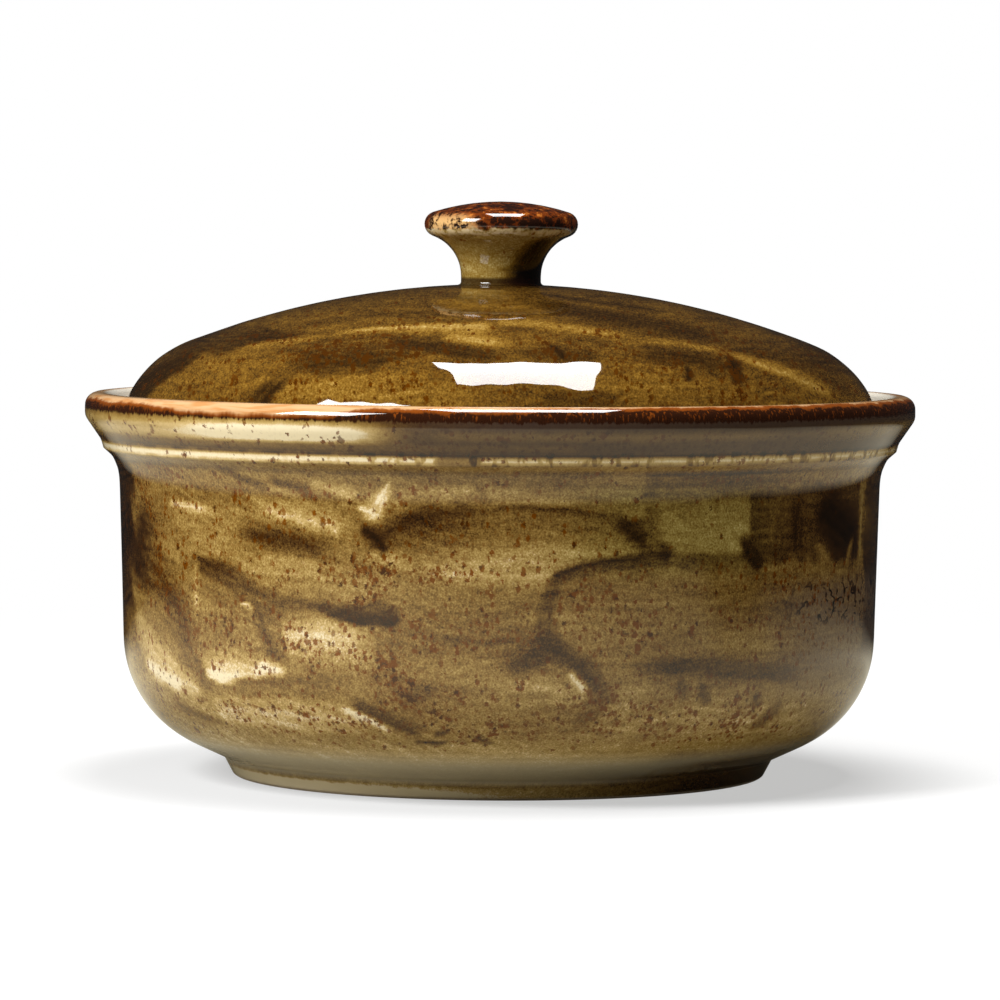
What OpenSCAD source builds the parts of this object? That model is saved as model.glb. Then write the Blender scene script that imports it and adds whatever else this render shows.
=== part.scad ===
// Round stoneware casserole dish: a footed dish with a galleried rim, a domed lid that drops into
// the gallery, and a mushroom knob stuck on the crown of the lid. Every piece is turned about Z.

/* [Dish] */
// Diameter over the widest part of the rim
rim_d = 216; // [208:1:226]
// Height of the rim above the table
dish_h = 99.2; // [92:0.2:112]
// Diameter of the body just under the rim moulding
body_d = 198.2; // [195:0.2:200]
// How far the wall leans in between the rim moulding and the heel, on the radius
wall_lean = 1.8; // [0.4:0.2:4]
// Thickness of the wall
wall_t = 5.4; // [4.4:0.2:6.4]
// Thickness of the base inside the foot ring
base_t = 6.4; // [5:0.2:8]
// Radius of the rounded heel between the underside and the wall
heel_r = 30; // [24:1:32]
// Slope of the underside between the foot ring and the heel, in degrees
underside_slope = 25; // [20:1:29]

/* [Foot ring] */
// Diameter of the foot ring where it meets the underside
foot_d = 143.6; // [136:0.4:146]
// Height of the foot ring on its outside
foot_h = 4.9; // [4:0.1:6]
// Width of the flat that the dish stands on, before its edges are rounded
foot_land = 5.2; // [4.4:0.1:6.4]
// How far the foot ring leans in towards the table, on the radius
foot_lean = 2.6; // [1:0.2:3.4]
// Height of the recess inside the foot ring
recess_h = 3.8; // [3:0.1:4.6]

/* [Rim moulding] */
// How far the small ridge under the lip stands out from the body, on the radius
ridge_out = 4.1; // [3.6:0.1:4.6]
// Depth of the ridge's sharp edge below the top of the rim
ridge_drop = 14.4; // [13.6:0.1:15.2]
// Radius of the ridge's edge
ridge_edge_r = 0.6; // [0.4:0.1:0.9]
// How far the ridge's underside falls to the body
ridge_fall = 3.5; // [3:0.1:4]
// Radius of the hollow between the body and the ridge
under_ridge_r = 7; // [4:0.5:8]
// How far the hollow above the ridge stands out from it, on the radius
cove_out = 0.6; // [0.4:0.1:0.9]
// Height of the hollow above the ridge's edge
cove_rise = 2.2; // [1.8:0.1:2.6]
// Radius of the hollow above the ridge
cove_r = 3; // [2:0.2:4]
// Height of the upright lip, with its rounded top
lip_h = 6.1; // [5.8:0.1:6.6]
// Radius of the lip's outer edge
lip_r = 3.3; // [2.8:0.1:3.6]
// Radius of the lip's inner edge
lip_in_edge_r = 2; // [1.4:0.1:2.4]

/* [Gallery] */
// Depth of the lid's seat below the top of the rim
gallery_drop = 6.6; // [5.6:0.2:7.6]
// Diameter of the gallery's wall at the seat
gallery_d = 199.6; // [198:0.2:201]
// Width of the seat
seat_w = 5; // [4.4:0.1:5.6]
// Flat width between the lip's outer edge and the start of the gallery's slope
lip_land = 6.1; // [5.4:0.1:6.6]

/* [Lid] */
// Gap between the edge of the lid and the wall of the gallery, on the radius
lid_gap = 1.8; // [1.2:0.1:2.2]
// Thickness of the lid's dome
lid_t = 5; // [4.2:0.2:5.8]
// Height of the lid's upright edge above its seat
lid_edge_h = 3.4; // [2.6:0.1:4.4]
// Radius of the lid's shoulder
shoulder_r = 29; // [24:1:34]
// Radius of the lid's crown
crown_r = 226; // [190:2:280]
// Tilt of the dome at the top of the edge, in degrees from upright
shoulder_start = 21.4; // [14:0.2:28]
// Depth of the flange that locates the lid inside the mouth
flange_h = 8; // [5:0.5:11]
// Thickness of the flange
flange_t = 4; // [3:0.2:5]
// Gap between the flange and the mouth of the dish, on the radius
flange_gap = 1.4; // [0.8:0.1:2]
// Radius of the fillet between the flange and the hollow of the dome
hollow_r = 5; // [2:0.5:7]

/* [Knob] */
// Diameter over the cap of the knob
knob_d = 40; // [36:0.5:46]
// Diameter of the knob's neck
neck_d = 20.8; // [18:0.2:23]
// Radius of the cap's rounded edge
cap_edge_r = 3.3; // [2.4:0.1:4]
// Radius of the cap's shallow crown
cap_crown_r = 58; // [40:1:90]
// Radius of the hollow under the cap
flare_r = 11; // [9:0.5:13]
// Height of the straight stretch of neck above the lid
neck_h = 2.3; // [1.6:0.1:4]
// Radius of the small fillet at the foot of the neck
knob_foot_r = 0.9; // [0.5:0.1:1.2]

/* [Hidden] */

// Curves: steps round each turned piece, the largest chord error, and the largest angle of one step
$fn = 180;
chord_error = 0.03;
largest_step = 9;

// Small rounding radii that every piece shares
soft_edge_r = 1;
inside_corner_r = 0.8;

// Radii and heights of the dish
rim_r = rim_d / 2;
body_r = body_d / 2;
heel_top_r = body_r - wall_lean;
foot_r = foot_d / 2;
foot_out_r = foot_r - foot_lean;
foot_in_r = foot_out_r - foot_land;
recess_r = foot_in_r - recess_h / 2;
heel_z = foot_h + (heel_top_r - foot_r) * tan(underside_slope);
ridge_r = body_r + ridge_out;
ridge_z = dish_h - ridge_drop;
wall_top_z = ridge_z - ridge_fall;
cove_z = ridge_z + cove_rise;
cove_x = ridge_r + cove_out;
lip_z = dish_h - lip_h;
lip_in_r = rim_r - lip_land;
floor_z = recess_h + base_t;
inner_r = heel_top_r - wall_t;
inner_heel_r = heel_r - wall_t;

// Gallery: where the lid rests
seat_z = dish_h - gallery_drop;
seat_out_r = gallery_d / 2;
seat_in_r = seat_out_r - seat_w;
mouth_z = ridge_z - under_ridge_r;

// Lid: the shoulder's arc starts on the upright edge and runs into the crown's arc
lid_r = seat_out_r - lid_gap;
edge_top_z = seat_z + lid_edge_h;
shoulder_c = [lid_r, edge_top_z] - shoulder_r * [cos(shoulder_start), sin(shoulder_start)];
crown_c = [0, shoulder_c.y - sqrt((crown_r - shoulder_r) ^ 2 - shoulder_c.x ^ 2)];
crown_end = atan2(shoulder_c.y - crown_c.y, shoulder_c.x);
flange_out_r = seat_in_r - flange_gap;
flange_in_r = flange_out_r - flange_t;
hollow_x = flange_in_r - hollow_r;
hollow_reach = shoulder_r - lid_t - hollow_r;
hollow_c = [hollow_x, shoulder_c.y + sqrt(hollow_reach ^ 2 - (hollow_x - shoulder_c.x) ^ 2)];
hollow_end = atan2(hollow_c.y - shoulder_c.y, hollow_c.x - shoulder_c.x);

// Knob: it stands on a flat pad on the crown, and its arcs run into each other
pad_r = neck_d / 2 + knob_foot_r;
pad_z = crown_c.y + sqrt(crown_r ^ 2 - pad_r ^ 2);
flare_c = [neck_d / 2 + flare_r, pad_z + neck_h];
cap_x = knob_d / 2 - cap_edge_r;
cap_c = [cap_x, flare_c.y + sqrt((flare_r + cap_edge_r) ^ 2 - (flare_c.x - cap_x) ^ 2)];
cap_crown_c = [0, cap_c.y - sqrt((cap_crown_r - cap_edge_r) ^ 2 - cap_x ^ 2)];
flare_end = atan2(cap_c.y - flare_c.y, cap_c.x - flare_c.x);
cap_crown_end = atan2(cap_c.y - cap_crown_c.y, cap_c.x);

// Direction from one point to another
function toward(from, to) = (to - from) / norm(to - from);

// Points along an arc about c, from angle a0 to angle a1
function arc(c, r, a0, a1) =
    let (step = min(largest_step, 2 * acos(1 - chord_error / r)),
         n = max(2, ceil(abs(a1 - a0) / step)))
    [for (i = [0 : n]) let (a = a0 + (a1 - a0) * i / n) c + r * [cos(a), sin(a)]];

// One corner of an outline, at p between a and b, rounded to radius r
function rounded_corner(a, p, b, r) =
    let (u = toward(p, a),
         v = toward(p, b),
         half = acos(u * v) / 2,
         c = p + (u + v) / norm(u + v) * r / sin(half),
         from = p + u * r / tan(half) - c,
         to = p + v * r / tan(half) - c,
         a0 = atan2(from.y, from.x),
         turn = atan2(from.x * to.y - from.y * to.x, from * to))
    arc(c, r, a0, a0 + turn);

// A corner's place, from [radius, height, rounding]
function place(corner) = [corner.x, corner.y];

// A stretch of outline round the corners between the first and the last, which only give directions
function rounded(corners) =
    [for (i = [1 : len(corners) - 2])
        each rounded_corner(place(corners[i - 1]), place(corners[i]), place(corners[i + 1]),
                            corners[i].z)];

// Half section of the dish: under the base, out over the foot and heel, up the wall and over
// the rim, then down the gallery and the inside
function dish_section() = concat(
    [[0, recess_h]],
    rounded([
        [0, recess_h],
        [recess_r, recess_h, recess_h / 2],
        [foot_in_r, 0, soft_edge_r],
        [foot_out_r, 0, soft_edge_r],
        [foot_r, foot_h, inside_corner_r],
        [heel_top_r, heel_z, heel_r],
        [body_r, wall_top_z, under_ridge_r],
        [ridge_r, ridge_z, ridge_edge_r],
        [cove_x, cove_z, cove_r],
        [rim_r, lip_z, lip_r],
        [rim_r, dish_h, lip_r],
        [lip_in_r, dish_h, lip_in_edge_r],
        [seat_out_r, seat_z, inside_corner_r],
        [seat_in_r, seat_z, soft_edge_r],
        [inner_r + wall_lean, mouth_z, under_ridge_r],
        [inner_r, floor_z, inner_heel_r],
        [0, floor_z]
    ]),
    [[0, floor_z]]);

// Half section of the lid: pad, crown, shoulder, edge and seat, then the flange and the hollow
function lid_section() = concat(
    [[0, pad_z]],
    arc(crown_c, crown_r, acos(pad_r / crown_r), crown_end),
    arc(shoulder_c, shoulder_r, crown_end, shoulder_start),
    rounded([
        [lid_r, edge_top_z],
        [lid_r, seat_z, soft_edge_r],
        [flange_out_r, seat_z, inside_corner_r],
        [flange_out_r, seat_z - flange_h, soft_edge_r],
        [flange_in_r, seat_z - flange_h, soft_edge_r],
        [flange_in_r, edge_top_z]
    ]),
    arc(hollow_c, hollow_r, 0, hollow_end),
    arc(shoulder_c, shoulder_r - lid_t, hollow_end, crown_end),
    arc(crown_c, crown_r - lid_t, crown_end, 90));

// Half section of the knob: flat foot, fillet, neck, flare, rounded edge and shallow crown
function knob_section() = concat(
    [[0, pad_z]],
    arc([pad_r, pad_z + knob_foot_r], knob_foot_r, 270, 180),
    arc(flare_c, flare_r, 180, flare_end),
    arc(cap_c, cap_edge_r, flare_end - 180, cap_crown_end),
    arc(cap_crown_c, cap_crown_r, cap_crown_end, 90));

module dish() {
    color([0.47, 0.38, 0.24]) rotate_extrude() polygon(dish_section());
}

module lid() {
    color([0.50, 0.36, 0.15]) rotate_extrude() polygon(lid_section());
}

module knob() {
    color([0.42, 0.22, 0.10]) rotate_extrude() polygon(knob_section());
}

dish();
lid();
knob();
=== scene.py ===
"""Looks of a round stoneware casserole dish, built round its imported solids.

The dish, the lid and the knob are turned again from their own outlines, painted with brush strokes
of glaze, and finished as glossy reactive stoneware. Painting sizes are in millimetres and degrees,
and azimuth 0 is the front, with + to the right. Everything in Blender is in metres.
"""

import math
from typing import NamedTuple

import bpy
import numpy as np
from mathutils import Matrix, Quaternion, Vector


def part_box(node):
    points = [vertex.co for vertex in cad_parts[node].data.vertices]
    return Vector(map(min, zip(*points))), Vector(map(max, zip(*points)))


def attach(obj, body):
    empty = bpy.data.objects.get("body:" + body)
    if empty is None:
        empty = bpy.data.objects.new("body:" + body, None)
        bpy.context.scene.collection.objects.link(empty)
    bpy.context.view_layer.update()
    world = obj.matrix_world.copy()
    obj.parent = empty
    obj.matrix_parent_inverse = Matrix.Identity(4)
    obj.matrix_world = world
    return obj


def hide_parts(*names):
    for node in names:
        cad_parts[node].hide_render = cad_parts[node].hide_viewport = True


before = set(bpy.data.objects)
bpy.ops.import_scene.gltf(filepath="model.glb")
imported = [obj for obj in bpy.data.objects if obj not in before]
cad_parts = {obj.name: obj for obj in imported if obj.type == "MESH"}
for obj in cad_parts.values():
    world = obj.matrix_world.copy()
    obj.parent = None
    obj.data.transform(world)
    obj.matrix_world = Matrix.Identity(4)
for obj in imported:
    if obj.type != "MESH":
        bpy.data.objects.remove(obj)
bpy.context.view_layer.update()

MM = 0.001

# Turning: points nearer than this are one ring of an outline, stretches longer than this are straight,
# and how far apart points are left on straight stretches, where the outline shows, where it is hidden,
# and round a turn
RING_GAP = 0.003
STRAIGHT = 9.0
STRAIGHT_STEP = 4.0
SHOWN_STEP = 0.75
HIDDEN_STEP = 6.0
LARGEST_TURN = math.radians(14)

# How many steps each piece is turned in, and how far they gather at the front
SEGMENTS = {"dish": 480, "lid": 480, "knob": 192}
FRONT_GATHER = 0.4

# How uneven each piece's glaze lies, how long its waves are, and the radii between which it goes from
# even, on the crown, to uneven
UNEVENNESS = {"dish": 0.12, "lid": 0.5, "knob": 0.12}
WAVE = {"dish": 26.0, "lid": 12.0, "knob": 26.0}
EVEN = (40.0, 92.0)

# Heights between which glaze gathers under the rim, from none to all and back, and how far it spreads
HOLLOW = (62.0, 68.0, 81.0, 83.4)
HOLLOW_REACH = 2.2

# Heights up the dish's outline: the middle of its wall, its dark moulding, the lip's burnt line, middle
# and inner edge, and the inner edge of the foot ring
MID_WALL = 55.0
MOULDING_LOW = 88.5
LIP_LOW = 98.0
LIP_MIDDLE = 101.0
LIP_END = 105.6
FOOT_END = -19.0

# The dish's outside is within this of its largest radius
OUTSIDE_DEPTH = 12.0

# The foot ring's underside is lower than this
UNDERSIDE = 0.05

# Height of the lid's widest place above its seat, and depth of the knob's cap
LID_EDGE = 3.4
CAP_DEPTH = 7.2

# Specks: how fine and how far their edges are ragged, in cells, how tall they are for their width, how
# their edges fade, and the strength of the faintest
SPECK_RAGGED = (2.6, 0.9)
SPECK_TALL = 1.4
SPECK_EDGE = (0.13, -0.09)
SPECK_FAINTEST = 0.65

# Radii at which the pieces and the lip are painted, and the widths of a stroke round the lip
BRUSH_RADIUS = {"dish": 98.0, "lid": 75.0, "knob": 12.0}
LIP_RADIUS = 108.0
LIP_WIDTHS = (14, 14, 14)


def srgb(red, green, blue):
    """A colour from its 0 to 255 values, as the linear colour that Blender's sockets take."""
    parts = [value / 255 for value in (red, green, blue)]
    linear = [p / 12.92 if p <= 0.04045 else ((p + 0.055) / 1.055) ** 2.4 for p in parts]
    return (*linear, 1.0)


def even_stops(colours):
    """Colour stops that are an even step apart, from dark to cream."""
    return [(step / (len(colours) - 1), srgb(*colour)) for step, colour in enumerate(colours)]


def smoothstep(values, low, high):
    """0 up to low, 1 from high, and a smooth step between."""
    share = np.clip((values - low) / (np.asarray(high) - np.asarray(low)), 0, 1)
    return share * share * (3 - 2 * share)


def banded(values, band):
    """1 in a band and 0 outside it. A band goes from none to all and back to none."""
    start, full, fading, end = band
    return smoothstep(values, start, full) * smoothstep(values, end, fading)


# Glaze and clay colours
BODY_GLAZE = even_stops(
    [
        (30, 19, 9),
        (58, 36, 15),
        (90, 63, 28),
        (117, 88, 41),
        (139, 108, 54),
        (160, 130, 70),
        (183, 154, 92),
        (209, 180, 121),
        (246, 231, 196),
    ]
)
LID_GLAZE = even_stops(
    [
        (26, 15, 5),
        (46, 29, 9),
        (70, 47, 15),
        (91, 63, 20),
        (110, 78, 25),
        (129, 95, 33),
        (148, 114, 48),
        (172, 141, 76),
        (206, 180, 118),
    ]
)
OLIVE = (0.93, 1.04, 0.97, 1.0)
# Painted reflection: the pale sheen of the floor on the heel
HEEL_SHEEN = srgb(186, 178, 158)
# Painted reflection: the grey sheen on the right of the wall
RIGHT_SHEEN = srgb(112, 98, 92)
RUST = srgb(122, 66, 0)
DARK_RUST = srgb(66, 34, 2)
BURNT = srgb(38, 19, 11)
LIP_SHADE = srgb(70, 56, 50)
LIP_PEACH = srgb(208, 166, 120)
LIP_ORANGE = srgb(198, 140, 86)
LIP_BROWN = srgb(128, 64, 17)
CAP_BROWN = srgb(104, 46, 13)
CAP_ORANGE = srgb(178, 104, 40)
CAP_PALE = srgb(232, 186, 122)
CREAM = srgb(234, 214, 170)
LINER = srgb(236, 231, 219)
BARE_CLAY = srgb(214, 198, 174)
DARK_CLAY = srgb(190, 170, 145)


# Node trees


class Socket:
    """An output of a node. Arithmetic with it adds Math nodes to its tree."""

    def __init__(self, nodes, socket):
        self.nodes = nodes
        self.socket = socket

    def other(self, name):
        """Another output of the same node."""
        return Socket(self.nodes, self.socket.node.outputs[name])

    def math(self, operation, first, second=0.0):
        """A Math node on one or two values."""
        return self.nodes.node("ShaderNodeMath", {"operation": operation}, {0: first, 1: second})

    def __add__(self, value):
        return self.math("ADD", self, value)

    def __radd__(self, value):
        return self.math("ADD", value, self)

    def __sub__(self, value):
        return self.math("SUBTRACT", self, value)

    def __rsub__(self, value):
        return self.math("SUBTRACT", value, self)

    def __mul__(self, value):
        return self.math("MULTIPLY", self, value)

    def __rmul__(self, value):
        return self.math("MULTIPLY", value, self)

    def __truediv__(self, value):
        return self.math("DIVIDE", self, value)

    def __rtruediv__(self, value):
        return self.math("DIVIDE", value, self)


class Nodes:
    """A node tree that is built node by node."""

    def __init__(self, tree):
        self.tree = tree
        tree.nodes.clear()

    def node(self, kind, settings=None, inputs=None, output=0):
        """Adds a node: its settings first, then the values or links of its sockets."""
        made = self.tree.nodes.new(kind)
        for name, value in (settings or {}).items():
            if name == "stops":
                self.set_stops(made.color_ramp, value)
            else:
                setattr(made, name, value)
        for name, value in (inputs or {}).items():
            socket = self.find_input(made, name)
            if isinstance(value, Socket):
                self.tree.links.new(value.socket, socket)
            else:
                socket.default_value = value
        shown = [socket for socket in made.outputs if socket.enabled]
        return Socket(self, shown[output]) if shown else None

    @staticmethod
    def find_input(node, name):
        """The input of a node that has this number, or the one in use that has this name."""
        if isinstance(name, int):
            return node.inputs[name]
        return next(socket for socket in node.inputs if socket.enabled and socket.name == name)

    @staticmethod
    def set_stops(ramp, stops):
        """Gives a colour ramp its stops, each a place and a colour."""
        while len(ramp.elements) < len(stops):
            ramp.elements.new(1.0)
        for element, (place, colour) in zip(ramp.elements, stops):
            element.position = place
            element.color = colour


class Glaze(Nodes):
    """The node tree of one glazed material, with the few nodes that every glaze is mixed from. Its grain
    is drawn out by run from front to back, as glaze runs down a slope."""

    def __init__(self, name, run=1.0):
        self.material = bpy.data.materials.new(name)
        self.material.use_nodes = True
        super().__init__(self.material.node_tree)
        place = self.node("ShaderNodeTexCoord").other("Object")
        scale = (1 / MM, 1 / (run * MM), 1 / MM)
        self.place = self.node("ShaderNodeVectorMath", {"operation": "MULTIPLY"}, {0: place, 1: scale})
        parts = self.node("ShaderNodeSeparateXYZ", None, {"Vector": self.place})
        self.x, self.y, self.z = parts, parts.other("Y"), parts.other("Z")

    def attribute(self, name):
        """A number that is stored at each point of the piece."""
        return self.node("ShaderNodeAttribute", {"attribute_name": name}).other("Fac")

    def noise(self, size, detail=2.0, where=None, roughness=0.5):
        """Noise from 0 to 1 whose lumps are about size millimetres across."""
        inputs = {
            "Vector": where or self.place,
            "Scale": 1 / size,
            "Detail": detail,
            "Roughness": roughness,
        }
        return self.node("ShaderNodeTexNoise", None, inputs)

    def stretched(self, around, upright, shift=0.0):
        """A place whose noise is drawn out: around and upright are the sizes in millimetres."""
        inputs = {"X": self.x / around, "Y": self.y / around, "Z": (self.z + shift) / upright}
        return self.node("ShaderNodeCombineXYZ", None, inputs)

    def smooth(self, value, low, high):
        """0 below low, 1 above high, and a smooth step between."""
        settings = {"interpolation_type": "SMOOTHSTEP"}
        inputs = {"Value": value, "From Min": low, "From Max": high}
        return self.node("ShaderNodeMapRange", settings, inputs)

    def band(self, value, band):
        """1 in a band and 0 outside it. A band goes from none to all and back to none."""
        start, full, fading, end = band
        return self.smooth(value, start, full) * self.smooth(value, end, fading)

    def clamp(self, value):
        """The value, kept between 0 and 1."""
        return self.node("ShaderNodeClamp", None, {"Value": value})

    def mix(self, share, first, second):
        """A colour that is first at 0 and second at 1."""
        inputs = {"Factor": share, "A": first, "B": second}
        return self.node("ShaderNodeMix", {"data_type": "RGBA"}, inputs)

    def tinted(self, share, colour, tint):
        """A colour that is multiplied by tint at 1."""
        settings = {"data_type": "RGBA", "blend_type": "MULTIPLY"}
        return self.node("ShaderNodeMix", settings, {"Factor": share, "A": colour, "B": tint})

    def ramp(self, value, stops):
        """A colour from stops, by a value from 0 to 1."""
        return self.node("ShaderNodeValToRGB", {"stops": stops}, {"Fac": value})

    def specks(self, cell, cover, smallest, largest):
        """Ragged upright specks, one at most in each cell: cover is the share of cells that have one, and
        smallest and largest are their radii as shares of a cell."""
        fineness, far = SPECK_RAGGED
        inputs = {"Vector": self.place, "Scale": fineness / cell}
        jitter = self.node("ShaderNodeTexNoise", None, inputs, output=1)
        inputs = {"Vector": jitter, "Scale": far}
        jitter = self.node("ShaderNodeVectorMath", {"operation": "SCALE"}, inputs)
        place = self.stretched(cell, SPECK_TALL * cell)
        place = self.node("ShaderNodeVectorMath", {"operation": "ADD"}, {0: place, 1: jitter})
        dots = self.node("ShaderNodeTexVoronoi", None, {"Vector": place, "Scale": 1.0})
        chance = self.node("ShaderNodeSeparateColor", None, {"Color": dots.other("Color")})
        reach = smallest + chance.other("Green") * (largest - smallest)
        spot = self.smooth(dots - reach, *SPECK_EDGE)
        chosen = self.smooth(chance - cover, 0.0, -0.02)
        strength = SPECK_FAINTEST + chance.other("Blue") * (1 - SPECK_FAINTEST)
        return spot * chosen * strength

    def finish(self, colour, roughness, coat, height):
        """Glossy glaze: a clear coat over the coloured glaze, with the small waves of its surface."""
        normal = self.node("ShaderNodeBump", None, {"Height": height, "Distance": MM, "Strength": 1.0})
        inputs = {
            "Base Color": colour,
            "Roughness": roughness,
            "IOR": 1.5,
            "Specular IOR Level": 0.0,
            "Coat Weight": coat,
            "Coat Roughness": 0.03,
            "Coat IOR": 1.58,
            "Normal": normal,
        }
        surface = self.node("ShaderNodeBsdfPrincipled", None, inputs)
        self.node("ShaderNodeOutputMaterial", None, {"Surface": surface})
        return self.material


# Outlines


def classes(values):
    """Numbers the values so that those within RING_GAP of each other share a number."""
    order = np.argsort(values)
    numbers = np.empty(len(values), int)
    numbers[order] = np.concatenate([[0], np.cumsum(np.diff(values[order]) > RING_GAP)])
    return numbers


def outline_of(node):
    """The half outline that a CAD node is turned from, as (radius, height) in millimetres: from the
    axis at its lower end, out and up, and back to the axis."""
    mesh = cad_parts[node].data
    points = np.array([vertex.co for vertex in mesh.vertices]) / MM
    places = np.stack([np.hypot(points[:, 0], points[:, 1]), points[:, 2]], 1)
    marks = np.stack([classes(places[:, 0]), classes(places[:, 1])], 1)
    rings, first, ring_of = np.unique(marks, axis=0, return_index=True, return_inverse=True)
    ring_of = ring_of.ravel()
    links = {ring: set() for ring in range(len(rings))}
    for edge in mesh.edges:
        one, two = ring_of[edge.vertices[0]], ring_of[edge.vertices[1]]
        if one != two:
            links[one].add(two)
            links[two].add(one)
    ends = [ring for ring in links if len(links[ring]) == 1]
    here = min(ends, key=lambda ring: places[first[ring], 1])
    walk = [here]
    while len(walk) < len(rings):
        here = next(ring for ring in links[here] if ring not in walk)
        walk.append(here)
    outline = places[first[walk]]
    start, end = outline[0] * (0, 1), outline[-1] * (0, 1)
    inner = outline[outline[:, 0] > RING_GAP]
    return np.concatenate([[start], inner, [end]])


def distances(outline):
    """How far along the outline each of its points is."""
    steps = np.linalg.norm(np.diff(outline, axis=0), axis=1)
    return np.concatenate([[0], np.cumsum(steps)])


def stretched_out(outline):
    """The outline with more points along its straight stretches."""
    points = [outline[:1]]
    for one, two in zip(outline[:-1], outline[1:]):
        length = np.linalg.norm(two - one)
        steps = math.ceil(length / STRAIGHT_STEP) if length > STRAIGHT else 1
        share = np.arange(1, steps + 1)[:, None] / steps
        points.append(one + share * (two - one))
    return np.concatenate(points)


def softened(outline):
    """The outline with twice the points, on a smooth curve instead of chords."""
    middles = (outline[:-1] + outline[1:]) / 2
    kept = outline.copy()
    kept[1:-1] = (outline[:-2] + 6 * outline[1:-1] + outline[2:]) / 8
    points = np.empty((len(kept) + len(middles), 2))
    points[0::2] = kept
    points[1::2] = middles
    return points


def filled(outline):
    """The outline with the glaze that gathers in the hollow between the wall and the ridge."""
    along = distances(outline)
    outside = np.arange(len(outline)) < outline[:, 1].argmax()
    share = banded(outline[:, 1], HOLLOW) * outside
    result = outline.copy()
    weight = np.gradient(along)
    for point in np.where(share > 0)[0]:
        near = weight * np.exp(-(((along - along[point]) / HOLLOW_REACH) ** 2) / 2)
        middle = near @ outline / near.sum()
        result[point] += share[point] * (middle - outline[point])
    return result


def thinned(outline, shown):
    """The outline with points no closer than it needs: fine where it shows, and round each turn."""
    ahead = np.diff(outline, axis=0)
    heading = np.unwrap(np.arctan2(ahead[:, 1], ahead[:, 0]))
    kept = [0]
    for point in range(1, len(outline) - 1):
        step = SHOWN_STEP if shown[point] else HIDDEN_STEP
        far = np.linalg.norm(outline[point] - outline[kept[-1]]) >= step
        bent = abs(heading[point] - heading[kept[-1]]) >= LARGEST_TURN
        if far or bent:
            kept.append(point)
    kept.append(len(outline) - 1)
    return kept


def bends(outline):
    """How sharply the outline bends at each point, in radians per millimetre: + is an edge that stands
    out, and - a hollow."""
    ahead = np.diff(outline, axis=0)
    lengths = np.linalg.norm(ahead, axis=1)
    heading = np.unwrap(np.arctan2(ahead[:, 1], ahead[:, 0]))
    result = np.zeros(len(outline))
    result[1:-1] = np.diff(heading) / ((lengths[:-1] + lengths[1:]) / 2)
    return np.clip(result, -1, 1)


class Outline(NamedTuple):
    """A piece's half outline, with what its turning and its glaze need at each point: its height for the
    painting, whether it shows, how sharply it bends, and which way is out."""

    points: np.ndarray
    height: np.ndarray
    shown: np.ndarray
    bend: np.ndarray
    outward: np.ndarray


def make_outline(node, find_shown, find_height):
    """Reads a node's outline and prepares it: find_shown says which of its points are outside, and
    find_height gives each point's height for the painting from its distance along the outline."""
    curve = softened(softened(softened(stretched_out(outline_of(node)))))
    if node == "dish":
        curve = filled(curve)
    shown = find_shown(curve)
    kept = thinned(curve, shown)
    points = curve[kept]
    height = find_height(points, distances(points))
    slope = np.gradient(points, axis=0)
    outward = np.stack([slope[:, 1], -slope[:, 0]], 1)
    outward /= np.linalg.norm(outward, axis=1)[:, None]
    return Outline(points, height, shown[kept].astype(float), bends(points), outward)


# Turned pieces


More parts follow.
